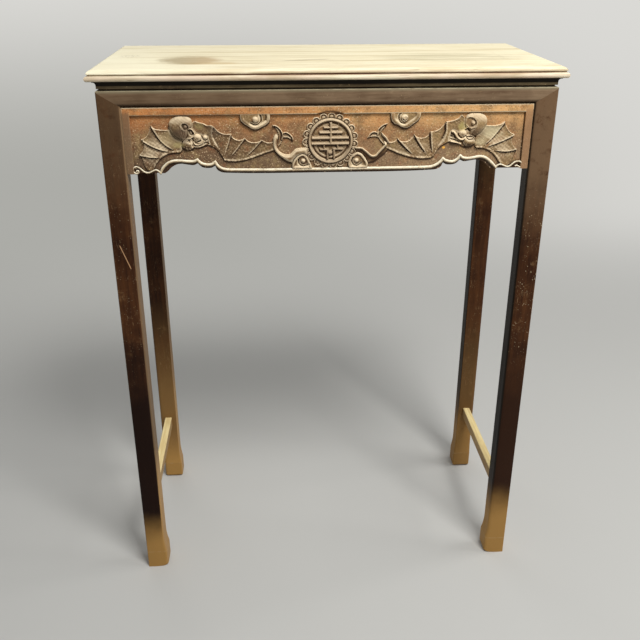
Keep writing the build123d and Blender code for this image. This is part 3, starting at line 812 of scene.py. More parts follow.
def start_tree(name, **values):
    """A geometry tree that takes a mesh and named values, with the sockets that give them."""
    tree = bpy.data.node_groups.new(name, "GeometryNodeTree")
    for label, kind in {"Geometry": "Geometry", **values}.items():
        tree.interface.new_socket(label, in_out="INPUT", socket_type="NodeSocket" + kind)
    tree.interface.new_socket("Geometry", in_out="OUTPUT", socket_type="NodeSocketGeometry")
    return tree, tree.nodes.new("NodeGroupInput").outputs


def add_node(tree, kind, values=None, **settings):
    """Adds a node to a geometry tree; a value that is a socket is linked. Gives its first output."""
    node = tree.nodes.new(kind)
    for key, value in settings.items():
        setattr(node, key, value)
    for key, value in (values or {}).items():
        if isinstance(value, bpy.types.NodeSocket):
            tree.links.new(value, node.inputs[key])
        else:
            node.inputs[key].default_value = value
    return node.outputs[0]


def grown(name, mesh, tree, shape, wood, **values):
    """Ends a tree with a shape clad in wood, and makes of it one piece of the board."""
    real = add_node(tree, "GeometryNodeRealizeInstances", {"Geometry": shape})
    clad = add_node(tree, "GeometryNodeSetMaterial", {"Geometry": real, "Material": wood})
    tree.links.new(clad, tree.nodes.new("NodeGroupOutput").inputs[0])
    piece = new_object(name, mesh)
    modifier = piece.modifiers.new("shape", "NODES")
    modifier.node_group = tree
    for socket in tree.interface.items_tree:
        if socket.name in values:
            modifier[socket.identifier] = values[socket.name]
    evaluated = piece.evaluated_get(bpy.context.evaluated_depsgraph_get())
    shaped = bpy.data.meshes.new_from_object(evaluated)
    piece.modifiers.remove(modifier)
    piece.data = shaped
    shaped.polygons.foreach_set("use_smooth", [True] * len(shaped.polygons))
    on_board(piece)


bead_tree, given = start_tree("half_round_bead", Radius="Float")
gain = add_node(bead_tree, "GeometryNodeInputNamedAttribute", {"Name": "gain"}, data_type="FLOAT")
line = add_node(bead_tree, "GeometryNodeMeshToCurve", {"Mesh": given["Geometry"]})
section = add_node(
    bead_tree, "GeometryNodeCurvePrimitiveCircle", {"Resolution": 16, "Radius": given["Radius"]}
)
tube = {"Curve": line, "Profile Curve": section, "Scale": gain, "Fill Caps": True}
tube = add_node(bead_tree, "GeometryNodeCurveToMesh", tube)

bead_thickness = 2.8
toe_start = 292.0
bead_points = edge_path(bead_runs)[0]
places, gains, links = [], [], []
for runs in (bead_runs, [left_curl], [right_curl]):
    strand, corner_gain = edge_path(runs)
    slim = clip01((np.abs(strand[:, 0]) - toe_start) / 9.0)
    links.extend((len(places) + n, len(places) + n + 1) for n in range(len(strand) - 1))
    places.extend(set_out(strand, 1.3 + 2.2 * slim))
    gains.extend(np.array(corner_gain) * (1 - 0.48 * slim))
bead_mesh = bpy.data.meshes.new("bead_line")
bead_mesh.from_pydata(places, links, [])
bead_mesh.attributes.new("gain", "FLOAT", "POINT").data.foreach_set("value", gains)
grown("apron_bead", bead_mesh, bead_tree, tube, bead_finish, Radius=bead_thickness * mm)

# ----------------------------------------
# Bats of the carved apron. Left standing when the ground is cut back: a fan wing with ribs, an
# inner wing towards the middle, a rolled crest, and a head with ear, cheek, brow and snout.
# ----------------------------------------


def ridge(gap, width, tall):
    """A rounded ridge of a full width along a line, by the distance from it."""
    share = clip01(2 * gap / width)
    return tall * (0.5 + 0.5 * np.cos(math.pi * share))


def knob(points, x, h, radius, tall, squash=1.0, turn=0.0):
    """Half an egg standing on the ground."""
    c, s = math.cos(math.radians(turn)), math.sin(math.radians(turn))
    dx, dh = points[:, 0] - x, points[:, 1] - h
    away = np.hypot(dx * c + dh * s, (dh * c - dx * s) / squash) / radius
    return tall * np.sqrt(clip01(1 - away**2))


def side_of(points, line):
    """Signed distance from a line: above 0 on its left, going along it."""
    signed = np.full(len(points), 1e9)
    for p, q in zip(line[:-1], line[1:]):
        d = q - p
        share = clip01(((points - p) @ d) / max(d @ d, 1e-12))
        gap = points - p - share[:, None] * d
        away = np.hypot(gap[:, 0], gap[:, 1])
        left = np.sign(d[0] * gap[:, 1] - d[1] * gap[:, 0])
        signed = np.where(away < np.abs(signed), away * np.where(left == 0, 1, left), signed)
    return signed


def sink(points, level, covers):
    """Drops a surface out of sight under the outlines of the parts that lie over it."""
    for outline in covers:
        within = np.where(inside(points, outline), distance(points, outline, True), 0.0)
        level = level - (level - 0.1) * clip01((within - 0.5) / 0.8)
    return level


def wing(start, runs, rims, ribs, belly, shade, covers, drop=1.0):
    """A wing's skin: thin rims on the scallops, and folds that drop sharply on one side of each rib."""
    outline = trace(start, *runs)
    rim_lines = [smooth(line) for line in rims]
    rib_lines = [smooth(line) for line in ribs]
    belly_line = smooth(belly)

    def height(points):
        rim = np.min([distance(points, line) for line in rim_lines], 0)
        low = distance(points, belly_line)
        level = 2.7 + 1.2 * np.exp(-rim / 3.6) + ridge(low - 1.6, 5.0, 0.6)
        for line in rib_lines:
            step = side_of(points, line) * shade
            fold = drop * clip01((np.hypot(*(points - line[-1]).T) - 1.0) / 15.0)
            top = 2.0 * np.exp(-np.maximum(step, 0) / 6.5)
            foot = -1.7 * np.exp(-np.maximum(-step - 1.6, 0) / 7.0)
            share = clip01(-step / 1.6)
            level += fold * (top * (1 - share) + foot * share)
        return sink(points, np.maximum(level, 0.9) + ripple(points, 0.14), covers)

    return outline, height, rib_lines


def crest(outline, hollow, floor, bits, grooves, lip, covers):
    """A rolled crest like a sea snail: a domed shell that curls over a hollow with a ball in it."""
    hollow_line = ring_of(hollow)

    def height(points):
        share = 1 - clip01(distance(points, outline, True) / 19.0)
        level = 1.4 + 7.2 * np.sqrt(1 - share**2)
        for line, width, deep in grooves:
            level -= ridge(distance(points, smooth(line)), width, deep)
        level += ridge(distance(points, smooth(lip)), 1.8, 0.8)
        within = np.where(inside(points, hollow_line), distance(points, hollow_line, True), 0.0)
        level -= (level - floor) * clip01(within / 1.4)
        for bit in bits:
            level = np.maximum(level, knob(points, *bit))
        return sink(points, level + ripple(points, 0.12), covers)

    return outline, height, [np.vstack([hollow_line, hollow_line[:1]])]


# Left bat.
fan_start = (-276, 76)
fan_runs = [
    [(-284, 75.6), (-293, 76.2), (-302.4, 78.4), (-307.9, 83.6)],
    [(-310.2, 77.6), (-314.1, 68.8), (-319.4, 62.8), (-327.4, 59.8)],
    [(-323.4, 57.2), (-322, 50), (-325, 40.3), (-331.7, 33.1)],
    [(-328.3, 28.7), (-326.2, 20), (-323.4, 11), (-318, 5.2), (-308.6, 5.4)],
    [(-304.1, 16), (-296, 25.2), (-285.8, 32.2), (-272.2, 35.9), (-260, 36.9), (-257, 40.6)],
    [(-258, 62), (-268, 76)],
]
fan_ribs = [
    [(-305.9, 80), (-296.5, 63), (-286.8, 51.4), (-269.5, 39.5)],
    [(-325.5, 59.4), (-314.4, 51.2), (-295.9, 42.4), (-276.3, 37.2)],
    [(-329.6, 32.6), (-316.3, 29.6), (-303, 28.2), (-294, 29)],
]
fan_rims = linked((-272, 76.6), *fan_runs[:3])
fan_left = fan_start, fan_runs, fan_rims, fan_ribs, [(-306, 12), *fan_runs[4][1:5]]
inner_start = (-232, 90.6)
inner_runs = [
    [(-227.5, 88.5), (-218.1, 86), (-212.3, 83.2), (-203.4, 82.4)],
    [(-199.3, 78.6), (-193.6, 72.5), (-186.7, 68.8), (-178.7, 67.4), (-172.3, 67.9)],
    [(-169.5, 62.3), (-163.8, 58.2), (-156, 57), (-148.3, 60.6)],
    [(-142.5, 54.8), (-132.8, 52.3), (-125, 53.6), (-119.2, 56.9)],
    [(-113.2, 53.2), (-105.9, 51.6), (-98.6, 53.7)],
    [(-98.6, 37.9)],
    [(-112, 33.8), (-122.5, 29.9), (-139.9, 24), (-156.1, 20.2), (-174.5, 19.5), (-184.5, 21)],
    [(-188.8, 28.5), (-194.2, 37.2), (-202.4, 44.7), (-210.6, 48.5), (-221, 50)],
    [(-240, 56)],
    [(-240, 86)],
]
inner_ribs = [
    [(-203, 79), (-205, 66), (-200, 52), (-191.5, 37)],
    [(-172.3, 66), (-177, 52), (-183, 36), (-185.6, 26)],
    [(-149.2, 58.6), (-156, 50), (-168, 35), (-180, 23.6)],
    [(-120.4, 55), (-130, 44.5), (-143.4, 31.5), (-152, 25)],
]
inner_rims = linked(inner_start, *inner_runs[:5])
inner_left = inner_start, inner_runs, inner_rims, inner_ribs, [*inner_runs[5], *inner_runs[6][1:]]
crest_left = ring_of(
    [(-250.9, 98.8), (-258.7, 98.9), (-266.5, 97.2), (-272.2, 93.8), (-276.2, 89.2), (-278.2, 83.6),
     (-278.2, 78), (-276.6, 72), (-273.4, 66.2), (-268.4, 61.2), (-262, 57.6), (-255.6, 55.6),
     (-251, 57.2), (-247, 62.6), (-244.9, 70.4), (-242.6, 76.6), (-238.6, 80), (-237.4, 86),
     (-238.2, 92.4), (-242.6, 97)]
)
crest_left_hollow = [
    (-254.8, 86), (-251.7, 87.4), (-247.2, 86.6), (-244.6, 83.6), (-244.2, 78), (-247, 74.4),
    (-251.5, 75.2), (-254.4, 78.4), (-255.4, 82.4),
]
crest_left_grooves = [
    ([(-276.4, 80.1), (-273.9, 71.9), (-268.1, 65.2), (-261.6, 61.2), (-256, 59.2)], 2.2, 1.4),
    ([(-245.6, 77.6), (-245.4, 72.6), (-246.2, 67.6), (-249.2, 60.6)], 2.4, 2),
    ([(-258.6, 80.9), (-258.4, 71.5), (-255.6, 63.6)], 2.6, 0.6),
    ([(-254.7, 75.6), (-254.4, 69), (-252.7, 62.4)], 2.4, 0.7),
    ([(-251, 72.8), (-250.8, 67.2), (-250.4, 62.4)], 2.2, 0.7),
]
crest_left_lip = [(-256, 81), (-254.8, 77.8), (-251.6, 74.6)]
head_left = ring_of(
    [(-258.5, 44.4), (-256.8, 52), (-252.4, 58.6), (-247.6, 61.8), (-246, 68), (-245.8, 77.2),
     (-240, 78.6), (-235, 74.4), (-232.2, 69.2), (-228.4, 68.9), (-223.6, 66.4), (-219.8, 65.4),
     (-216, 66.6), (-212, 63.6), (-211.6, 57), (-208.6, 51.2), (-217.7, 47.2), (-225.7, 44.6),
     (-233.7, 44.4), (-238.6, 41.2), (-249, 40.4)]
)


stroke_foot = 2.4


def marks(points, level, raised, sunk, balls):
    """Adds raised and sunk strokes, each a line with its width and its height or depth, then balls."""
    for line, width, tall in raised:
        stroke = 1.25 * ridge(distance(points, smooth(line)), width, tall)
        level = np.maximum(level, stroke_foot + stroke)
    for line, width, deep in sunk:
        level = level - 1.3 * ridge(distance(points, smooth(line)), width, deep)
    for ball in balls:
        level = np.maximum(level, knob(points, *ball))
    return np.maximum(level, 0.5)


def head(outline, lumps, raised, sunk, balls):
    """A head: round masses first, then raised folds and sunk lines, then the balls of the eyes."""

    def height(points):
        level = 1.8 + np.max([knob(points, *lump) for lump in lumps], 0)
        return marks(points, level, raised, sunk, balls)

    return outline, height, []


left_lumps = [
    (-229.9, 61.7, 7.4, 6), (-246.5, 50.2, 11.8, 5, 0.84), (-223.5, 54.8, 10, 3.2, 0.66, -18),
    (-216.3, 62.4, 4.3, 5.6),
]
left_raised = [
    ([(-244.6, 77.2), (-239.8, 77.2), (-235.6, 73), (-233.6, 68.4), (-236.2, 64.2), (-240.4, 61.6)], 3, 2.8),
    ([(-251.6, 55.6), (-247.8, 59.4), (-241.6, 60.4), (-239.2, 56.4), (-242.2, 51.8)], 2.8, 2.6),
    ([(-236.4, 55), (-233.6, 50.6), (-228.1, 49.8), (-221.4, 53.6)], 2.8, 2.8),
    ([(-235.4, 46.4), (-228.3, 46), (-219.4, 48.6)], 2, 1.8),
    ([(-212.6, 60.4), (-211, 56), (-209.4, 52.4)], 2.2, 1.6),
]
left_sunk = [
    ([(-243.4, 74.6), (-242.8, 70), (-240.4, 66.6), (-237.4, 67.8), (-238.6, 72), (-242.4, 74.4)], 3.2, 2.6),
    ([(-246.8, 55.8), (-243.6, 57.2), (-243, 54)], 3, 3.4),
    ([(-229.6, 55), (-224.8, 56.6)], 3.8, 5.2),
    ([(-234.2, 54.6), (-232.2, 52.8)], 3.2, 4.4),
    ([(-235.9, 48.2), (-228.1, 47.8), (-221.7, 50.4), (-217.8, 53.2)], 1.6, 2.6),
    ([(-218.2, 52), (-215.2, 53.6)], 3.6, 4.6),
    ([(-239.4, 60.4), (-237.4, 54), (-238.6, 47)], 2.8, 2.4),
    ([(-223.6, 66.4), (-222, 62.6), (-220.4, 59.6)], 2.4, 2),
]

# Right bat.
fan_start = (272, 77.4)
fan_runs = [
    [(280, 77), (288, 76.8), (298.5, 78.8), (307.8, 84.2)],
    [(308.4, 80), (312.5, 72), (318.2, 65), (327.3, 60.2)],
    [(323.6, 57), (322.6, 50), (325.4, 42), (333.3, 34)],
    [(330.2, 27.4), (327, 17.6), (324, 10), (318, 5), (311, 6)],
    [(302.1, 12.6), (297, 20), (289, 28), (280, 34), (270, 37.2), (258.7, 37.6)],
    [(256, 42)],
    [(258, 58), (265, 70)],
]
fan_ribs = [
    [(305.6, 81), (298, 70), (286, 55), (272.4, 41.4)],
    [(325, 59.6), (312, 52.6), (294, 45), (276, 38.4)],
    [(331, 34), (318, 31.4), (303, 31.6), (290.4, 33)],
]
fan_rims = linked((270, 77.8), *fan_runs[:3])
fan_right = fan_start, fan_runs, fan_rims, fan_ribs, [(304, 11), *fan_runs[4][1:]]
inner_start = (233, 93.4)
inner_runs = [
    [(229, 95.6), (224.6, 90.6), (217, 87), (210, 85.4), (203, 84.4)],
    [(198.6, 78.6), (191.5, 71.6), (183.5, 68.4), (176.2, 67.4)],
    [(172.4, 61.4), (166.8, 57.6), (158.1, 56.8), (151.6, 59.2), (147.8, 63.6)],
    [(144.4, 57.4), (138.4, 52.4), (130.5, 50.6), (123.6, 52), (118.9, 56.6)],
    [(113.5, 51.3), (106.1, 50.2), (100, 51.6)],
    [(97.6, 39.9)],
    [(108, 35.4), (122, 29.2), (137, 24.2), (152, 20.9), (166, 19.8), (177, 20.6), (184.4, 24)],
    [(189.1, 32.8), (193.9, 39.3), (202.7, 45.7), (211.8, 49.6), (221, 50.6)],
    [(238, 56)],
    [(240, 84)],
]
inner_ribs = [
    [(203.2, 81), (203.6, 66), (199, 52), (190, 38)],
    [(177, 64.6), (178.4, 50), (180.6, 36), (182.2, 27)],
    [(148.8, 61), (155, 51), (164, 38), (173.4, 26)],
    [(120, 54.6), (128, 46), (138, 36), (148, 26.6)],
]
inner_rims = linked(inner_start, *inner_runs[:5])
inner_right = inner_start, inner_runs, inner_rims, inner_ribs, [*inner_runs[5], *inner_runs[6][:-1]]
crest_right = ring_of(
    [(235.6, 85.9), (236.7, 91.8), (240, 96.1), (245.4, 98.4), (254.8, 98.9), (260.8, 98.7),
     (267.9, 96.3), (273.4, 91.7), (275.7, 86.3), (275.2, 80.1), (273, 74.3), (269.8, 68.6),
     (265.9, 64.2), (261, 60.9), (255.4, 59), (250.4, 60.2), (245.9, 62), (241.9, 65.2), (238, 69.4),
     (236.8, 74), (235.4, 80)]
)
crest_right_hollow = [
    (235.4, 87), (240, 91), (247.4, 91.4), (253.6, 88), (256, 81.6), (253.6, 75.8), (247.6, 73.4),
    (242.4, 74.6), (238.8, 78.4), (235.4, 80),
]
crest_right_grooves = [
    ([(238.6, 88.8), (244, 91.4), (250, 90), (254.4, 85.8)], 2, 1.8),
    ([(246.8, 85.6), (245.4, 82), (246.6, 78.2), (250.6, 76)], 2.2, 3),
    ([(241.6, 73.6), (247, 70.8), (252.6, 72.2)], 2.4, 2.6),
    ([(247.4, 70.4), (244.8, 66.8), (243.4, 63.4)], 2.4, 1.8),
    ([(252.4, 68.8), (250.4, 63)], 2.6, 0.7),
]
crest_right_lip = [(257.2, 80.3), (255, 74.2), (249.8, 70.9), (247, 71.2)]
head_right = ring_of(
    [(257.4, 49.6), (255.6, 56.4), (249.6, 60.6), (246.8, 62.4), (247.2, 70.6), (244.4, 75.6),
     (239.6, 75.8), (236.4, 71.6), (232.8, 70.6), (227.6, 67.6), (224.6, 64.4), (220.6, 68),
     (216.4, 70.2), (212, 68.4), (211.4, 62.6), (209.2, 57), (210.2, 51.4), (214.4, 48), (220.8, 46.8),
     (229.2, 44.4), (235, 40.4), (243.3, 39.4), (251.3, 41.4), (256.5, 45.2)]
)
right_lumps = [(233.2, 63.6, 7.2, 6.2), (246, 49.6, 12.2, 5.6, 0.84), (226, 53.4, 9, 2, 0.6, 18)]
right_raised = [
    ([(215.4, 67.6), (219, 64.4), (223.2, 58.2), (228, 54.3), (233.6, 53.4), (236.8, 55.8)], 5.4, 4),
    ([(214.2, 67.4), (216.8, 66.6)], 7, 3.4),
    ([(241, 59.6), (247.8, 60.2), (253.4, 57.2), (256.2, 52.6)], 2.8, 3),
    ([(237.6, 71.6), (240.2, 74.4), (243.6, 74.4), (246.3, 71)], 2.6, 3),
    ([(213, 50), (220.7, 48.4), (226, 47.2), (230.6, 45.4)], 2.8, 2.8),
]
right_sunk = [
    ([(226, 60.8), (229.4, 57.6), (231.6, 56.4)], 3.6, 5.6),
    ([(235, 57.2), (237.6, 59.4)], 2.8, 3.6),
    ([(242, 58), (248.4, 58)], 2.6, 3.6),
    ([(240.5, 55.9), (244.8, 52.9), (251.5, 53.8)], 2.8, 3.4),
    ([(238.8, 69.2), (241.8, 71.2), (244.8, 67.4)], 3.2, 3.4),
    ([(213.2, 58.8), (214.6, 58.4)], 4.6, 5),
    ([(213, 53.8), (220, 52.2), (226.6, 50.2)], 3.4, 5),
    ([(218.6, 57.4), (221.4, 54.8)], 2.8, 3),
]

standing = []
relief_back = -1.2


def carve(name, parts, spacing=0.8, soften=0.7):
    """One carved piece from parts of (outline, height, lines), all backed a little into the board."""
    shell = Shell()
    for outline, height, lines in parts:
        shell.add(outline, height, relief_back, spacing, lines, 0.5, soften)
        standing.append(outline)
    shell.build(name, relief_finish)


left_covers, right_covers = [crest_left, head_left], [crest_right, head_right]
carve("bat_fan_left", [wing(*fan_left, 1, left_covers)])
carve("bat_fan_right", [wing(*fan_right, -1, right_covers)])
carve("bat_wing_left", [wing(*inner_left, -1, left_covers, 0.4)])
carve("bat_wing_right", [wing(*inner_right, 1, right_covers)])
left_ball, right_ball = (-248.9, 81, 4.4, 6.6), (250.2, 81.8, 4.2, 9.4)
left_eyes, right_eyes = [(-231.6, 55.6, 1.7, 5.4), (-213.8, 55.8, 1.9, 5)], [(233, 57.6, 1.8, 5.2)]
left_roll = crest(
    crest_left, crest_left_hollow, 0.9, [left_ball], crest_left_grooves, crest_left_lip, [head_left]
)
right_roll = crest(
    crest_right, crest_right_hollow, 4.6, [right_ball], crest_right_grooves, crest_right_lip, [head_right]
)
carve("bat_crest_left", [left_roll], 0.6, 1.0)
carve("bat_crest_right", [right_roll], 0.6, 1.0)
carve("bat_head_left", [head(head_left, left_lumps, left_raised, left_sunk, left_eyes)], 0.5, 0.9)
carve("bat_head_right", [head(head_right, right_lumps, right_raised, right_sunk, right_eyes)], 0.5, 0.9)

# ----------------------------------------
# Clouds of the carved apron: one hanging from the border on each side, and by the roundel low
# scrolled clouds with a trailing band and two crescent leaves, all carved from the same board.
# ----------------------------------------


def pillow(edge, low, tall, reach):
    """A rounded rise, by the distance in from an outline."""
    return low + tall * np.sqrt(1 - (1 - clip01(edge / reach)) ** 2)


def band(outline, high_side, low, tall, reach):
    """A rounded band with a thin crisp rim along its upper side."""
    rim = smooth(high_side)

    def height(points):
        edge = distance(points, outline, True)
        return pillow(edge, low, 1.35 * tall, reach) + ridge(distance(points, rim) - 0.9, 2.2, 0.9)

    return outline, height, []


def gutter(outline, high_side):
    """A leaf with a full rim along its upper side, a thin one along the other, and sunk between."""
    rim = smooth(high_side)

    def height(points):
        edge = distance(points, outline, True)
        gap = distance(points, rim)
        level = 2.4 + 0.9 * clip01(1.3 - edge) + 2.3 * np.exp(-((gap / 2.2) ** 2))
        return level - 0.6 * np.exp(-(((gap - 3.6) / 1.1) ** 2))

    return outline, height, []


def low_cloud(outline, fold, ball):
    """A cloud with a rim, a floor, one sunk fold and a ball in it."""

    def height(points):
        edge = distance(points, outline)
        level = pillow(edge, 2.2, 2.4, 1.8) - 1.3 * clip01((edge - 3.0) / 2.4)
        return marks(points, level, [], [(fold, 3.6, 3.4)], [ball])

    return outline, height, []


def scroll(x, h, radius, turns, start, squeeze=0.8):
    """A spiral line that winds in from the outside."""
    share = np.linspace(0, 1, int(26 * turns))
    angle = math.radians(start) + 2 * math.pi * turns * share
    away = radius * (1 - squeeze * share)
    return np.stack([x + away * np.cos(angle), h + away * np.sin(angle)], 1)


def hung(rim):
    """The outline of a cloud that hangs from the border: its rim and a straight top."""
    return np.vstack([rim, smooth([rim[-1], rim[0]])[1:-1]])


cloud_left_rim = smooth(
    [(-155.7, 100.9), (-155.8, 95.7), (-154.2, 89.5), (-148.2, 83.6), (-141.6, 79.5), (-136.2, 75.9),
     (-129.7, 74.3), (-123.4, 75.6), (-116.6, 79), (-109.7, 82.7), (-105.2, 87.2), (-103.7, 93.3),
     (-103.8, 100.9)]
)
cloud_right_rim = smooth(
    [(104.4, 100.9), (104.6, 93.5), (106.3, 87.2), (111, 81.8), (118.5, 79), (125.1, 75.3), (131.6, 73.8),
     (137.9, 75.3), (144.1, 80), (152.1, 85.8), (157.2, 92.9), (158.2, 100.9)]
)
left_hollow = [(-137, 85.2), (-131.6, 82.4), (-125, 83), (-120.6, 87), (-119.6, 92.6), (-121, 99.6)]
right_hollow = [(122.4, 99.8), (119.4, 94.8), (119.6, 88.6), (123, 83.8), (129.4, 81.6)]
cloud_curl = scroll(130.4, 91.4, 4.6, 0.9, 200.0)


def cloud_left_face(points):
    edge = distance(points, cloud_left_rim)
    lobe = clip01((points[:, 0] + 122.0) / 3.0)
    level = pillow(edge, 2.4, 2.6, 1.8) - (0.5 + 1.6 * lobe) * clip01((edge - 4.6) / 2.6)
    level -= ridge(distance(points, smooth(left_hollow)), 4.6, 3.8)
    return np.maximum(np.maximum(level, 0.6), knob(points, -129.2, 91.2, 7.6, 6.6))


def cloud_right_face(points):
    edge = distance(points, cloud_right_rim)
    level = pillow(edge, 2.4, 2.6, 1.8) - 1.2 * clip01((edge - 6.4) / 2.6)
    level -= ridge(distance(points, smooth(right_hollow)), 4.2, 3.8)
    level = np.maximum(np.maximum(level, 0.6), knob(points, 129.4, 91.2, 7.8, 6.6))
    return level - ridge(distance(points, cloud_curl), 2.4, 1.6)


carve("cloud_hanging_left", [(hung(cloud_left_rim), cloud_left_face, [])], 0.7)
carve("cloud_hanging_right", [(hung(cloud_right_rim), cloud_right_face, [])], 0.7)

crescent_start = (-100.4, 81.7)
crescent_runs = [
    [(-94.4, 81.6), (-89.1, 78.2), (-84, 71.8), (-81.6, 64.4), (-82.9, 57.2), (-86.2, 50), (-91.6, 43.4)],
    [(-90.4, 52.8), (-89.4, 60), (-89.9, 67.2), (-92.9, 74), (-97.4, 78.8)],
]
leaf_start = (-82.2, 69)
leaf_runs = [
    [(-75.7, 69.8), (-70.3, 66.5), (-65.6, 61.6), (-64.1, 57), (-66.1, 53.3)],
    [(-70.4, 58.2), (-75.8, 60.3), (-82.2, 60.2)],
]
tendril_high = [
    (-92, 67), (-90.4, 60.9), (-92.5, 53.7), (-93.8, 46.4), (-91.7, 40), (-86.4, 34.4), (-79.1, 31.1),
    (-70.9, 31), (-65.3, 35.9), (-60.7, 40), (-52.7, 41.8), (-39, 42.2),
]
tendril_left = trace(
    (-92, 67),
    [(-96.1, 65), (-99.4, 59.2), (-100.9, 51.1), (-100.3, 43.8), (-97.3, 36.4), (-91.9, 29.9),
     (-83.8, 23.3), (-75.7, 18.1), (-66, 15)],
    [(-62, 22), (-56, 27), (-48, 30), (-39, 28)],
    [(-39, 42.2)],
    tendril_high[-2::-1],
)
low_cloud_left = trace(
    (-66.8, 4.6),
    [(-67.4, 12), (-63.6, 21), (-58, 27.4), (-51, 31.4), (-44.4, 30.6), (-39.6, 25.6), (-34.6, 15),
     (-30.6, 4.6)],
)
fold_left = [(-55.4, 21), (-55, 14.2), (-49.6, 10.2), (-42, 10.6), (-37.4, 13)]
carve(
    "cloud_band_left",
    [
        gutter(trace(crescent_start, *crescent_runs), [crescent_start, *crescent_runs[0][:5]]),
        gutter(trace(leaf_start, *leaf_runs), [leaf_start, *leaf_runs[0][:3], (-64.4, 57)]),
        band(tendril_left, tendril_high, 0.8, 3.8, 5.6),
        low_cloud(low_cloud_left, fold_left, (-47.4, 18.8, 4.6, 6.0)),
    ],
    0.7,
)

crescent_start = (101.2, 83.3)
crescent_runs = [
    [(93.7, 81.3), (87.4, 77.2), (82.9, 71.8), (82.2, 64.1), (86.6, 55.3), (95.6, 44.8)],
    [(96.5, 51.1), (92.6, 59.4), (89.5, 67.6), (91.7, 72.1), (95.7, 76.6)],
]
leaf_start = (65.3, 58.2)
leaf_runs = [
    [(69.2, 65.3), (75.8, 69), (84, 67.4)],
    [(84.6, 57.9)],
    [(80.6, 59.8), (74.2, 59.9)],
]
tendril_low = [
    (43.4, 42.4), (50, 42.2), (56.2, 41.3), (64.7, 35.2), (73.2, 28.1), (78.8, 27.8), (85.1, 34),
    (91.3, 40.8), (95.8, 45.8),
]
tendril_high = [(89.7, 67.8), (93.5, 64.1), (99, 58.8), (103.6, 51.6)]
tendril_right = trace(
    (89.7, 67.8),
    tendril_high[1:],
    [(104.4, 45), (102.5, 38.1), (97.2, 30.8), (89.1, 24.4), (82.7, 18.9), (76.3, 15.1), (67, 14)],
    [(62.6, 23), (56, 30), (50, 32.6), (43.6, 31.6)],
    [(43.4, 42.4)],
    tendril_low[1:],
    [(92.6, 54), (88.6, 62)],
)
low_cloud_right = trace(
    (33.6, 4.6),
    [(31.2, 12.6), (33.2, 21), (40.4, 29.2), (47.9, 32.9), (55.4, 30.4), (60.6, 24.6), (64.2, 19.4),
     (67.4, 12.6), (66.4, 4.6)],
)
fold_right = [(40.6, 24), (38.4, 17), (41.8, 10.8), (48.8, 9.2), (54.8, 13.4)]


def tendril_right_face(points):
    upper = distance(points, smooth(tendril_low))
    arm = distance(points, smooth(tendril_high))
    edge = distance(points, tendril_right, True)
    return pillow(edge, 0.6, 1.4, 3.0) + 4.4 * np.exp(-((np.minimum(upper, arm) / 4.4) ** 2))


carve(
    "cloud_band_right",
    [
        gutter(trace(crescent_start, *crescent_runs), [crescent_start, *crescent_runs[0][:4]]),
        gutter(trace(leaf_start, *leaf_runs), [leaf_start, *leaf_runs[0]]),
        (tendril_right, tendril_right_face, []),
        low_cloud(low_cloud_right, fold_right, (46.3, 18.4, 4.8, 6.0)),
    ],
    0.7,
)

# ----------------------------------------
# Roundel of the carved apron: a round sign for long life inside a raised ring, with nineteen
# petals round it. The sign's bars stand on a sunk disc, cut with a straight chisel.
# ----------------------------------------

ring_outer, ring_inner = 39.6, 33.0
petal_count = 19
petal_circle = 42.8
petal_foot = 36.0
plate_radius, plate_foot = 29.6, 6.4
arc_radius, arc_half = 28.4, 1.9
sign_level = 3.4


def bar(x, h, half_wide, half_tall):
    """How far points lie inside a straight bar, in millimetres; below 0 outside it."""

    def depth(points):
        dx = half_wide - np.abs(points[:, 0] - roundel[0] - x)
        dh = half_tall - np.abs(points[:, 1] - roundel[1] - h)
        return np.minimum(dx, dh)

    return depth


sign_bars = [
    bar(0.6, 15.4, 2.0, 17.4),
    bar(0.5, 23.4, 12.2, 1.4),
    bar(0.7, 14.9, 20.0, 1.7),
    bar(0.0, 5.4, 34.2, 2.0),
    bar(0.0, -4.4, 34.2, 1.9),
    bar(0.6, 0.0, 2.1, 6.0),
    bar(-11.2, -9.5, 1.2, 4.4),
    bar(12.5, -9.5, 1.4, 4.4),
    bar(-11.2, -14.4, 7.4, 1.4),
    bar(12.9, -13.8, 8.6, 1.4),
    bar(-5.0, -23.4, 1.8, 8.6),
    bar(6.4, -23.0, 1.8, 8.2),
]


def roundel_face(points):
    dx, dh = points[:, 0] - roundel[0], points[:, 1] - roundel[1]
    away = np.hypot(dx, dh)
    across = clip01((away - ring_inner) / (ring_outer - ring_inner))
    hoop_level = 1.8 + 4.4 * np.sin(math.pi * across**1.25)
    floor = np.full(len(points), 0.4)
    plate = (away < plate_radius) & (dh > plate_foot)
    floor = np.where(plate, 2.0, floor)
    upper_slot = (np.abs(dh - 19.6) < 2.4) & (np.abs(dx - 0.4) < 15.0 - 0.6 * (dh - 17.2))
    lower_slot = (np.abs(dh - 10.6) < 2.6) & (np.abs(dx + 0.6) < 21.8 - 0.6 * (dh - 8.0))
    floor = np.where(upper_slot | lower_slot, 0.2, floor)
    off_arc = np.abs(away - arc_radius)
    floor = np.where((dh < -plate_foot) & (off_arc < arc_half), 3.0 - 0.6 * off_arc, floor)
    deepest = np.max([depth(points) for depth in sign_bars], 0)
    level = np.where(deepest > 0, sign_level + 2.6 * np.sqrt(clip01(deepest / 1.5)), floor)
    level = np.maximum(level, 1.6 + knob(points, roundel[0] - 0.6, roundel[1] - 20.4, 4.6, 4.8, 0.8))
    return np.where(away > ring_inner, hoop_level, level)


roundel_edge = circle(*roundel, ring_outer, 150)
hoop_lines = [circle(*roundel, ring_inner + shift, 130) for shift in (-0.35, 0.05, 1.0, 3.3, 5.6)]
hoop_lines = [np.vstack([line, line[:1]]) for line in hoop_lines]
carve("roundel", [(roundel_edge, roundel_face, hoop_lines)], 0.62, 0.0)

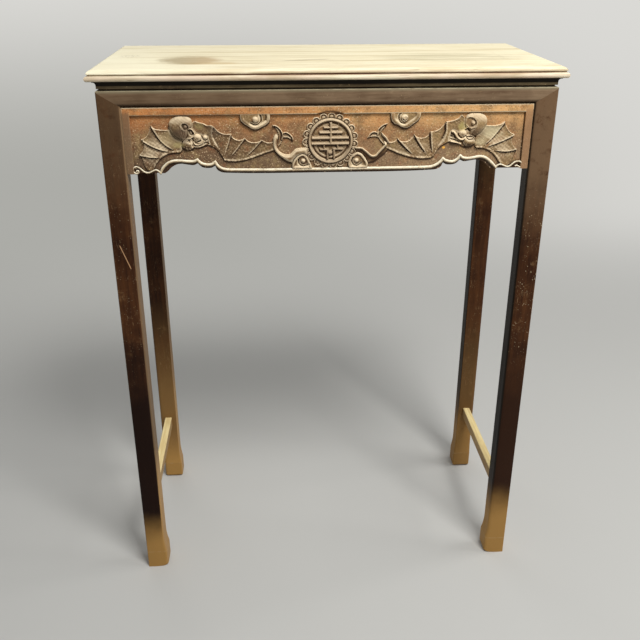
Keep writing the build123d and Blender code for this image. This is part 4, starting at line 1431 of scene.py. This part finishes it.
half_turn = math.pi / petal_count
petal_half = petal_circle * math.sin(half_turn)
petal_heart = petal_circle * math.cos(half_turn)
petal_root = (petal_foot * math.sin(half_turn), petal_foot * math.cos(half_turn))
petal_leg = smooth([petal_root, (petal_half, petal_heart)])
petal_arc = circle(0.0, petal_heart, petal_half, 44)[:23]
petal_rim = np.vstack([petal_leg[:-1], petal_arc, petal_leg[-2::-1] * (-1, 1)])


def petal_face(points):
    """A flat lobe with a raised rim and a small arc within it."""
    rim = distance(points, petal_rim)
    away = np.hypot(points[:, 0], points[:, 1] - petal_heart + 0.6)
    level = 2.2 + ridge(rim - 1.2, 2.8, 1.1)
    level += np.where(points[:, 1] > petal_heart - 1.6, ridge(away - 2.2, 2.0, 0.7), 0.0)
    return level - 1.2 * clip01((41.4 - np.hypot(points[:, 0], points[:, 1])) / 1.4)


petal = Shell()
petal.add(petal_rim, petal_face, relief_back, 0.75, (), 0.1, 0.5)
petal_points = np.vstack(petal.points)
petal_mesh = bpy.data.meshes.new("petal")
petal_mesh.from_pydata((petal_points * (mm, -mm, mm)).tolist(), [], petal.faces)
petal.mark(petal_mesh)
petal_tree, given = start_tree("ring_of_petals", Petals="Int", Turn="Float", Centre="Vector")
number = add_node(petal_tree, "GeometryNodeInputIndex")
share = add_node(petal_tree, "ShaderNodeMath", {0: number, 1: given["Petals"]}, operation="DIVIDE")
angle = add_node(petal_tree, "ShaderNodeMath", {0: share, 1: 2 * math.pi}, operation="MULTIPLY")
first = add_node(petal_tree, "ShaderNodeMath", {0: angle, 1: given["Turn"]}, operation="ADD")
turn = add_node(petal_tree, "ShaderNodeCombineXYZ", {"Y": first})
places = add_node(petal_tree, "GeometryNodePoints", {"Count": given["Petals"], "Position": given["Centre"]})
wreath = {"Points": places, "Instance": given["Geometry"], "Rotation": turn}
wreath = add_node(petal_tree, "GeometryNodeInstanceOnPoints", wreath)
grown(
    "petals",
    petal_mesh,
    petal_tree,
    wreath,
    relief_finish,
    Petals=petal_count,
    Turn=math.radians(2.8),
    Centre=set_out([roundel], [0.0])[0],
)
standing.append(circle(*roundel, petal_circle + 1.8, 60))

# ----------------------------------------
# Ground and border of the carved apron. The board itself: the ground cut back with gouges round
# what stands, a flat border left along the top and the ends, tongues into the rail and the legs.
# ----------------------------------------

scoop_radius = 52.9
bead_end = 298
pale_band = 1.9


def end_to_end(side, top, foot, gap):
    """A line up the left end of the board, along its top and down the right end, in three pieces."""
    corners = [(-side, foot), (-side, top), (side, top), (side, foot)]
    return [smooth(pair, gap) for pair in zip(corners, corners[1:])]


def within_border(points):
    """How far points lie inside the recess, and how far from the nearest edge of the border."""
    reach, h = np.abs(points[:, 0]), points[:, 1]
    depth_in = np.minimum(recess_side - reach, recess_top - h)
    return depth_in, np.minimum.reduce([-depth_in, board_half - reach, board_top - h])


def from_roundel(points):
    return np.hypot(points[:, 0] - roundel[0], points[:, 1] - roundel[1])


def board_face(points):
    """Height over the sunk ground: the border with soft arrises, its wall and the ground itself."""
    depth_in, edge = within_border(points)
    share = clip01(depth_in / wall_run)
    border = ground_depth - 0.5 * np.exp(-np.clip(edge, 0, 9) / 0.7) + ripple(points, 0.05)
    around = from_roundel(points)
    scoop = (points[:, 1] > recess_top) & (around < scoop_radius)
    border = np.where(scoop, border - 1.8 * clip01((scoop_radius - around) / 3.0), border)
    ground = ripple(points, 0.16) - 0.6 * np.exp(-np.clip(depth_in, 0, 99) / 1.5)
    under_toe = clip01((np.interp(points[:, 0], *bead_points.T) - points[:, 1]) / 1.4)
    ground -= 2.6 * (under_toe * (np.abs(points[:, 0]) > bead_end))
    return border * (1 - share) + ground * share


def board_wear_and_painted_light(points):
    """Pale arrises along the border, worn and partly painted highlight; painted shadows below what
    stands on the ground; and painted shade by the bead, at the walls and in the scoop.
    """
    x, h = points[:, 0], points[:, 1]
    reach = np.abs(x)
    depth_in = within_border(points)[0]
    # The pale arrises grow paler towards the right: painted highlight, as the light falls from the right.
    middle = clip01((x + 180.0) / 200.0)
    wear_and_painted_light = np.maximum.reduce(
        [
            clip01(pale_band - (board_top - h)) * (0.75 + 0.45 * middle),
            clip01(pale_band - (board_half - reach)) * 0.4,
            clip01(pale_band - (h - recess_top)) * (reach < recess_side) * (0.35 + 0.4 * middle),
            clip01(pale_band - (reach - recess_side)) * (reach > recess_side - 0.01) * 0.4,
        ]
    )
    # Painted shade in the scoop of the border over the roundel.
    around = from_roundel(points)
    scooped = (h > recess_top) & (around < scoop_radius)
    wear_and_painted_light = np.where(scooped, -0.38 * clip01((scoop_radius + 0.3 - around) / 1.2), wear_and_painted_light) * (depth_in <= 1e-4)
    # Painted shadows below each part that stands on the ground, fainter further down.
    under = np.zeros(len(points))
    for outline in standing:
        near = (np.abs(x - outline[:, 0].mean()) < np.ptp(outline[:, 0])) & (depth_in > 0)
        for fall, dark in ((0.8, 1.0), (2.2, 0.75), (4.0, 0.35)):
            shadowed = np.zeros(len(points), bool)
            shadowed[near] = inside(points[near] + (0, fall), outline)
            if fall < 2.0:
                shadowed[near] &= inside(points[near] + (0.0, 2.4), outline)
            under = np.maximum(under, np.where(shadowed, dark, 0.0))
    # Dirt and painted shade along the bead, and painted shade on the board below it.
    near_bead = 0.45 * np.exp(-np.clip(distance(points, bead_points) - 3.0, 0, 99) / 1.5)
    under = np.maximum(under, np.where(h < np.interp(x, *bead_points.T), 0.9, near_bead))
    # Painted shade at the feet of the recess walls: full at the top and right walls, which turn from the
    # light, and faint at the left wall, which looks towards it.
    top_foot = clip01(1.4 - (recess_top - h) / 1.6)
    right_foot = clip01(1.6 - (recess_side - x) / 1.6)
    left_foot = 0.35 * clip01(1.0 - (recess_side + x) / 1.6)
    foot = np.where(depth_in > 0, np.maximum.reduce([top_foot, right_foot, left_foot]), 0.0)
    return wear_and_painted_light - np.maximum(under * (depth_in > 0), foot)


ground_finish, colour, shader, place = carved_finish(
    "carved_ground",
    [(108, 84, 62), (144, 104, 70), (210, 138, 78)],
    [(156, 126, 94), (172, 130, 88), (236, 182, 118)],
    (244, 220, 180),
    0.75,
)
x, y, z = place.split()
end_border = x.size().rise((recess_side - 0.8) * mm, (recess_side + 0.8) * mm)
end_border = end_border * z.rise(board_low.z + 0.113, board_low.z + 0.1)
wax = spot(x, z - board_low.z, (0.2015, 0.0387), (0.0028, 0.0024))
colour = colour.under(
    (end_border * 0.8, x.rise(-0.1, 0.1).blend((122, 96, 70), (164, 124, 88))),
    (wax.rise(1.3, 0.6) * 0.9, (255, 190, 84)),
)
recolour(shader, colour)

ground_spacing, border_spacing = 1.35, 3.4
fine = lattice(board_outline, ground_spacing)
fine = fine[(np.abs(fine[:, 0]) < recess_side) & (fine[:, 1] < recess_top)]
plain = lattice(board_outline, border_spacing)
plain = plain[(np.abs(plain[:, 0]) > recess_side + 2.2) | (plain[:, 1] > recess_top + 2.2)]
edge_lines = []
for shrink in (0.0, wall_run, -0.9, -1.9):
    edge_lines.extend(end_to_end(recess_side - shrink, recess_top - shrink, 0.6, 2.5))
for inset in (0.9, 1.9):
    edge_lines.extend(end_to_end(board_half - inset, board_top - inset, 1.0, 3.0))
for reach in (scoop_radius - 1.5, scoop_radius + 0.7):
    arch = circle(*roundel, reach, 120)
    arch = arch[(arch[:, 1] > recess_top + 0.3) & (arch[:, 1] < board_top - 2.4)]
    edge_lines.extend([arch[arch[:, 0] > roundel[0]], arch[arch[:, 0] < roundel[0]]])
board_thickness = 20.0
tongue_front, tongue_back = -5.0, -13.0
top_tongue_half = 343.0
end_tongue_low, end_tongue_high = 12.0, 102.0
root = 0.5
board = Shell()
board.add(
    board_outline,
    board_face,
    ground_depth - board_thickness,
    ground_spacing,
    edge_lines,
    loose=np.vstack([fine, plain]),
    wear_and_painted_light=board_wear_and_painted_light,
)
# The tongues, dark all over: painted shade where the top one shows in the gap under the rail.
for low_x, high_x, low_h, high_h in (
    (-top_tongue_half, top_tongue_half, board_top - root, board_top + tongue_rise / mm),
    (-board_half - tongue / mm, -board_half + root, end_tongue_low, end_tongue_high),
    (board_half - root, board_half + tongue / mm, end_tongue_low, end_tongue_high),
):
    board.add(
        np.array([(low_x, low_h), (high_x, low_h), (high_x, high_h), (low_x, high_h)]),
        lambda points: np.full(len(points), tongue_front),
        tongue_back,
        400.0,
        loose=np.empty((0, 2)),
        wear_and_painted_light=lambda points: np.full(len(points), -1.0),
    )
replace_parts(board.build("apron_board", ground_finish), "apron_front")

# ----------------------------------------
# Floor, light and camera: a pale studio sweep, large soft lamps and a lens at chest height.
# ----------------------------------------


def sweep_mesh(name, half, front, back, bend, top):
    """A floor that turns up into a wall through a smooth bend."""
    profile = [(front, 0.0), (back - bend, 0.0)]
    for n in range(1, 25):
        angle = math.radians(90 * n / 24)
        profile.append((back - bend + bend * math.sin(angle), bend - bend * math.cos(angle)))
    profile.append((back, top))
    points = [(side * half, y, z) for y, z in profile for side in (-1, 1)]
    faces = [(2 * n, 2 * n + 1, 2 * n + 3, 2 * n + 2) for n in range(len(profile) - 1)]
    mesh = bpy.data.meshes.new(name)
    mesh.from_pydata(points, [], faces)
    mesh.polygons.foreach_set("use_smooth", [True] * len(mesh.polygons))
    return mesh


studio = new_object("studio_sweep", sweep_mesh("studio_sweep", 6.0, -5.0, 3.2, 1.2, 5.0))
sweep_finish, shader, place = start_finish("sweep_paper")
x, y, z = place.split()
shader.inputs["Base Color"].default_value = pigment(196, 195, 190)
shader.inputs["Roughness"].default_value = 0.9
# Painted light: the far backdrop glows for camera and glossy rays, in a colour that pales to the right and
# upwards.
paper = x.rise(-0.6, 2.2).blend((172, 172, 167), (214, 213, 209))
paper = z.rise(0.1, 1.2).blend(paper, (219, 218, 214))
glow = paper.node("ShaderNodeEmission", {}, {"Color": paper})
rays = paper.tree.nodes.new("ShaderNodeLightPath")
camera_ray, glossy_ray = [Tone(paper.tree, rays.outputs[f"Is {kind} Ray"]) for kind in ("Camera", "Glossy")]
distant = camera_ray.at_least(glossy_ray) * y.rise(0.5, 2.4)
sheet = Tone(paper.tree, shader.outputs[0])
mixed = paper.node("ShaderNodeMixShader", {}, {0: distant, 1: sheet, 2: glow})
paper.tree.links.new(mixed.socket, paper.tree.nodes["Material Output"].inputs[0])
studio.data.materials.append(sweep_finish)

world = bpy.data.worlds.new("studio_air")
bpy.context.scene.world = world
world.use_nodes = True
world.node_tree.nodes["Background"].inputs["Color"].default_value = (0.95, 0.97, 1.0, 1.0)
world.node_tree.nodes["Background"].inputs["Strength"].default_value = 0.26


def lamp(name, place, target, size, power):
    data = bpy.data.lights.new(name, "AREA")
    data.shape = "SQUARE"
    data.size = size
    data.energy = power
    light = new_object(name, data)
    light.location = place
    light.rotation_euler = (Vector(target) - Vector(place)).to_track_quat("-Z", "Y").to_euler()


lamp("key_softbox", (0.75, -1.6, 3.05), (0.0, 0.0, 0.8), 1.0, 75.0)
lamp("side_softbox", (2.6, -0.1, 1.9), (0.0, 0.0, 0.8), 1.4, 26.0)
lamp("back_softbox", (-0.9, 2.4, 1.3), (0.0, 0.2, 0.6), 1.6, 10.0)

# The lens: where it stands in metres, how it is turned in radians, and its focal length.
lens_place = Vector((-0.1043, -1.5754, 1.2322))
lens_pitch = 0.4345
lens_yaw = -0.0620
lens_roll = -0.0004
picture_width = 640
focal_pixels = 800.72
forward = Vector(
    (
        -math.sin(lens_yaw) * math.cos(lens_pitch),
        math.cos(lens_yaw) * math.cos(lens_pitch),
        -math.sin(lens_pitch),
    )
)
camera_data = bpy.data.cameras.new("studio_camera")
camera_data.sensor_width = 36.0
camera_data.lens = focal_pixels / picture_width * camera_data.sensor_width
camera = new_object("studio_camera", camera_data)
camera.location = lens_place
aim = forward.to_track_quat("-Z", "Y").to_matrix() @ Matrix.Rotation(-lens_roll, 3, "Z")
camera.rotation_euler = aim.to_euler()
bpy.context.scene.camera = camera
bpy.context.scene.view_settings.view_transform = "Standard"
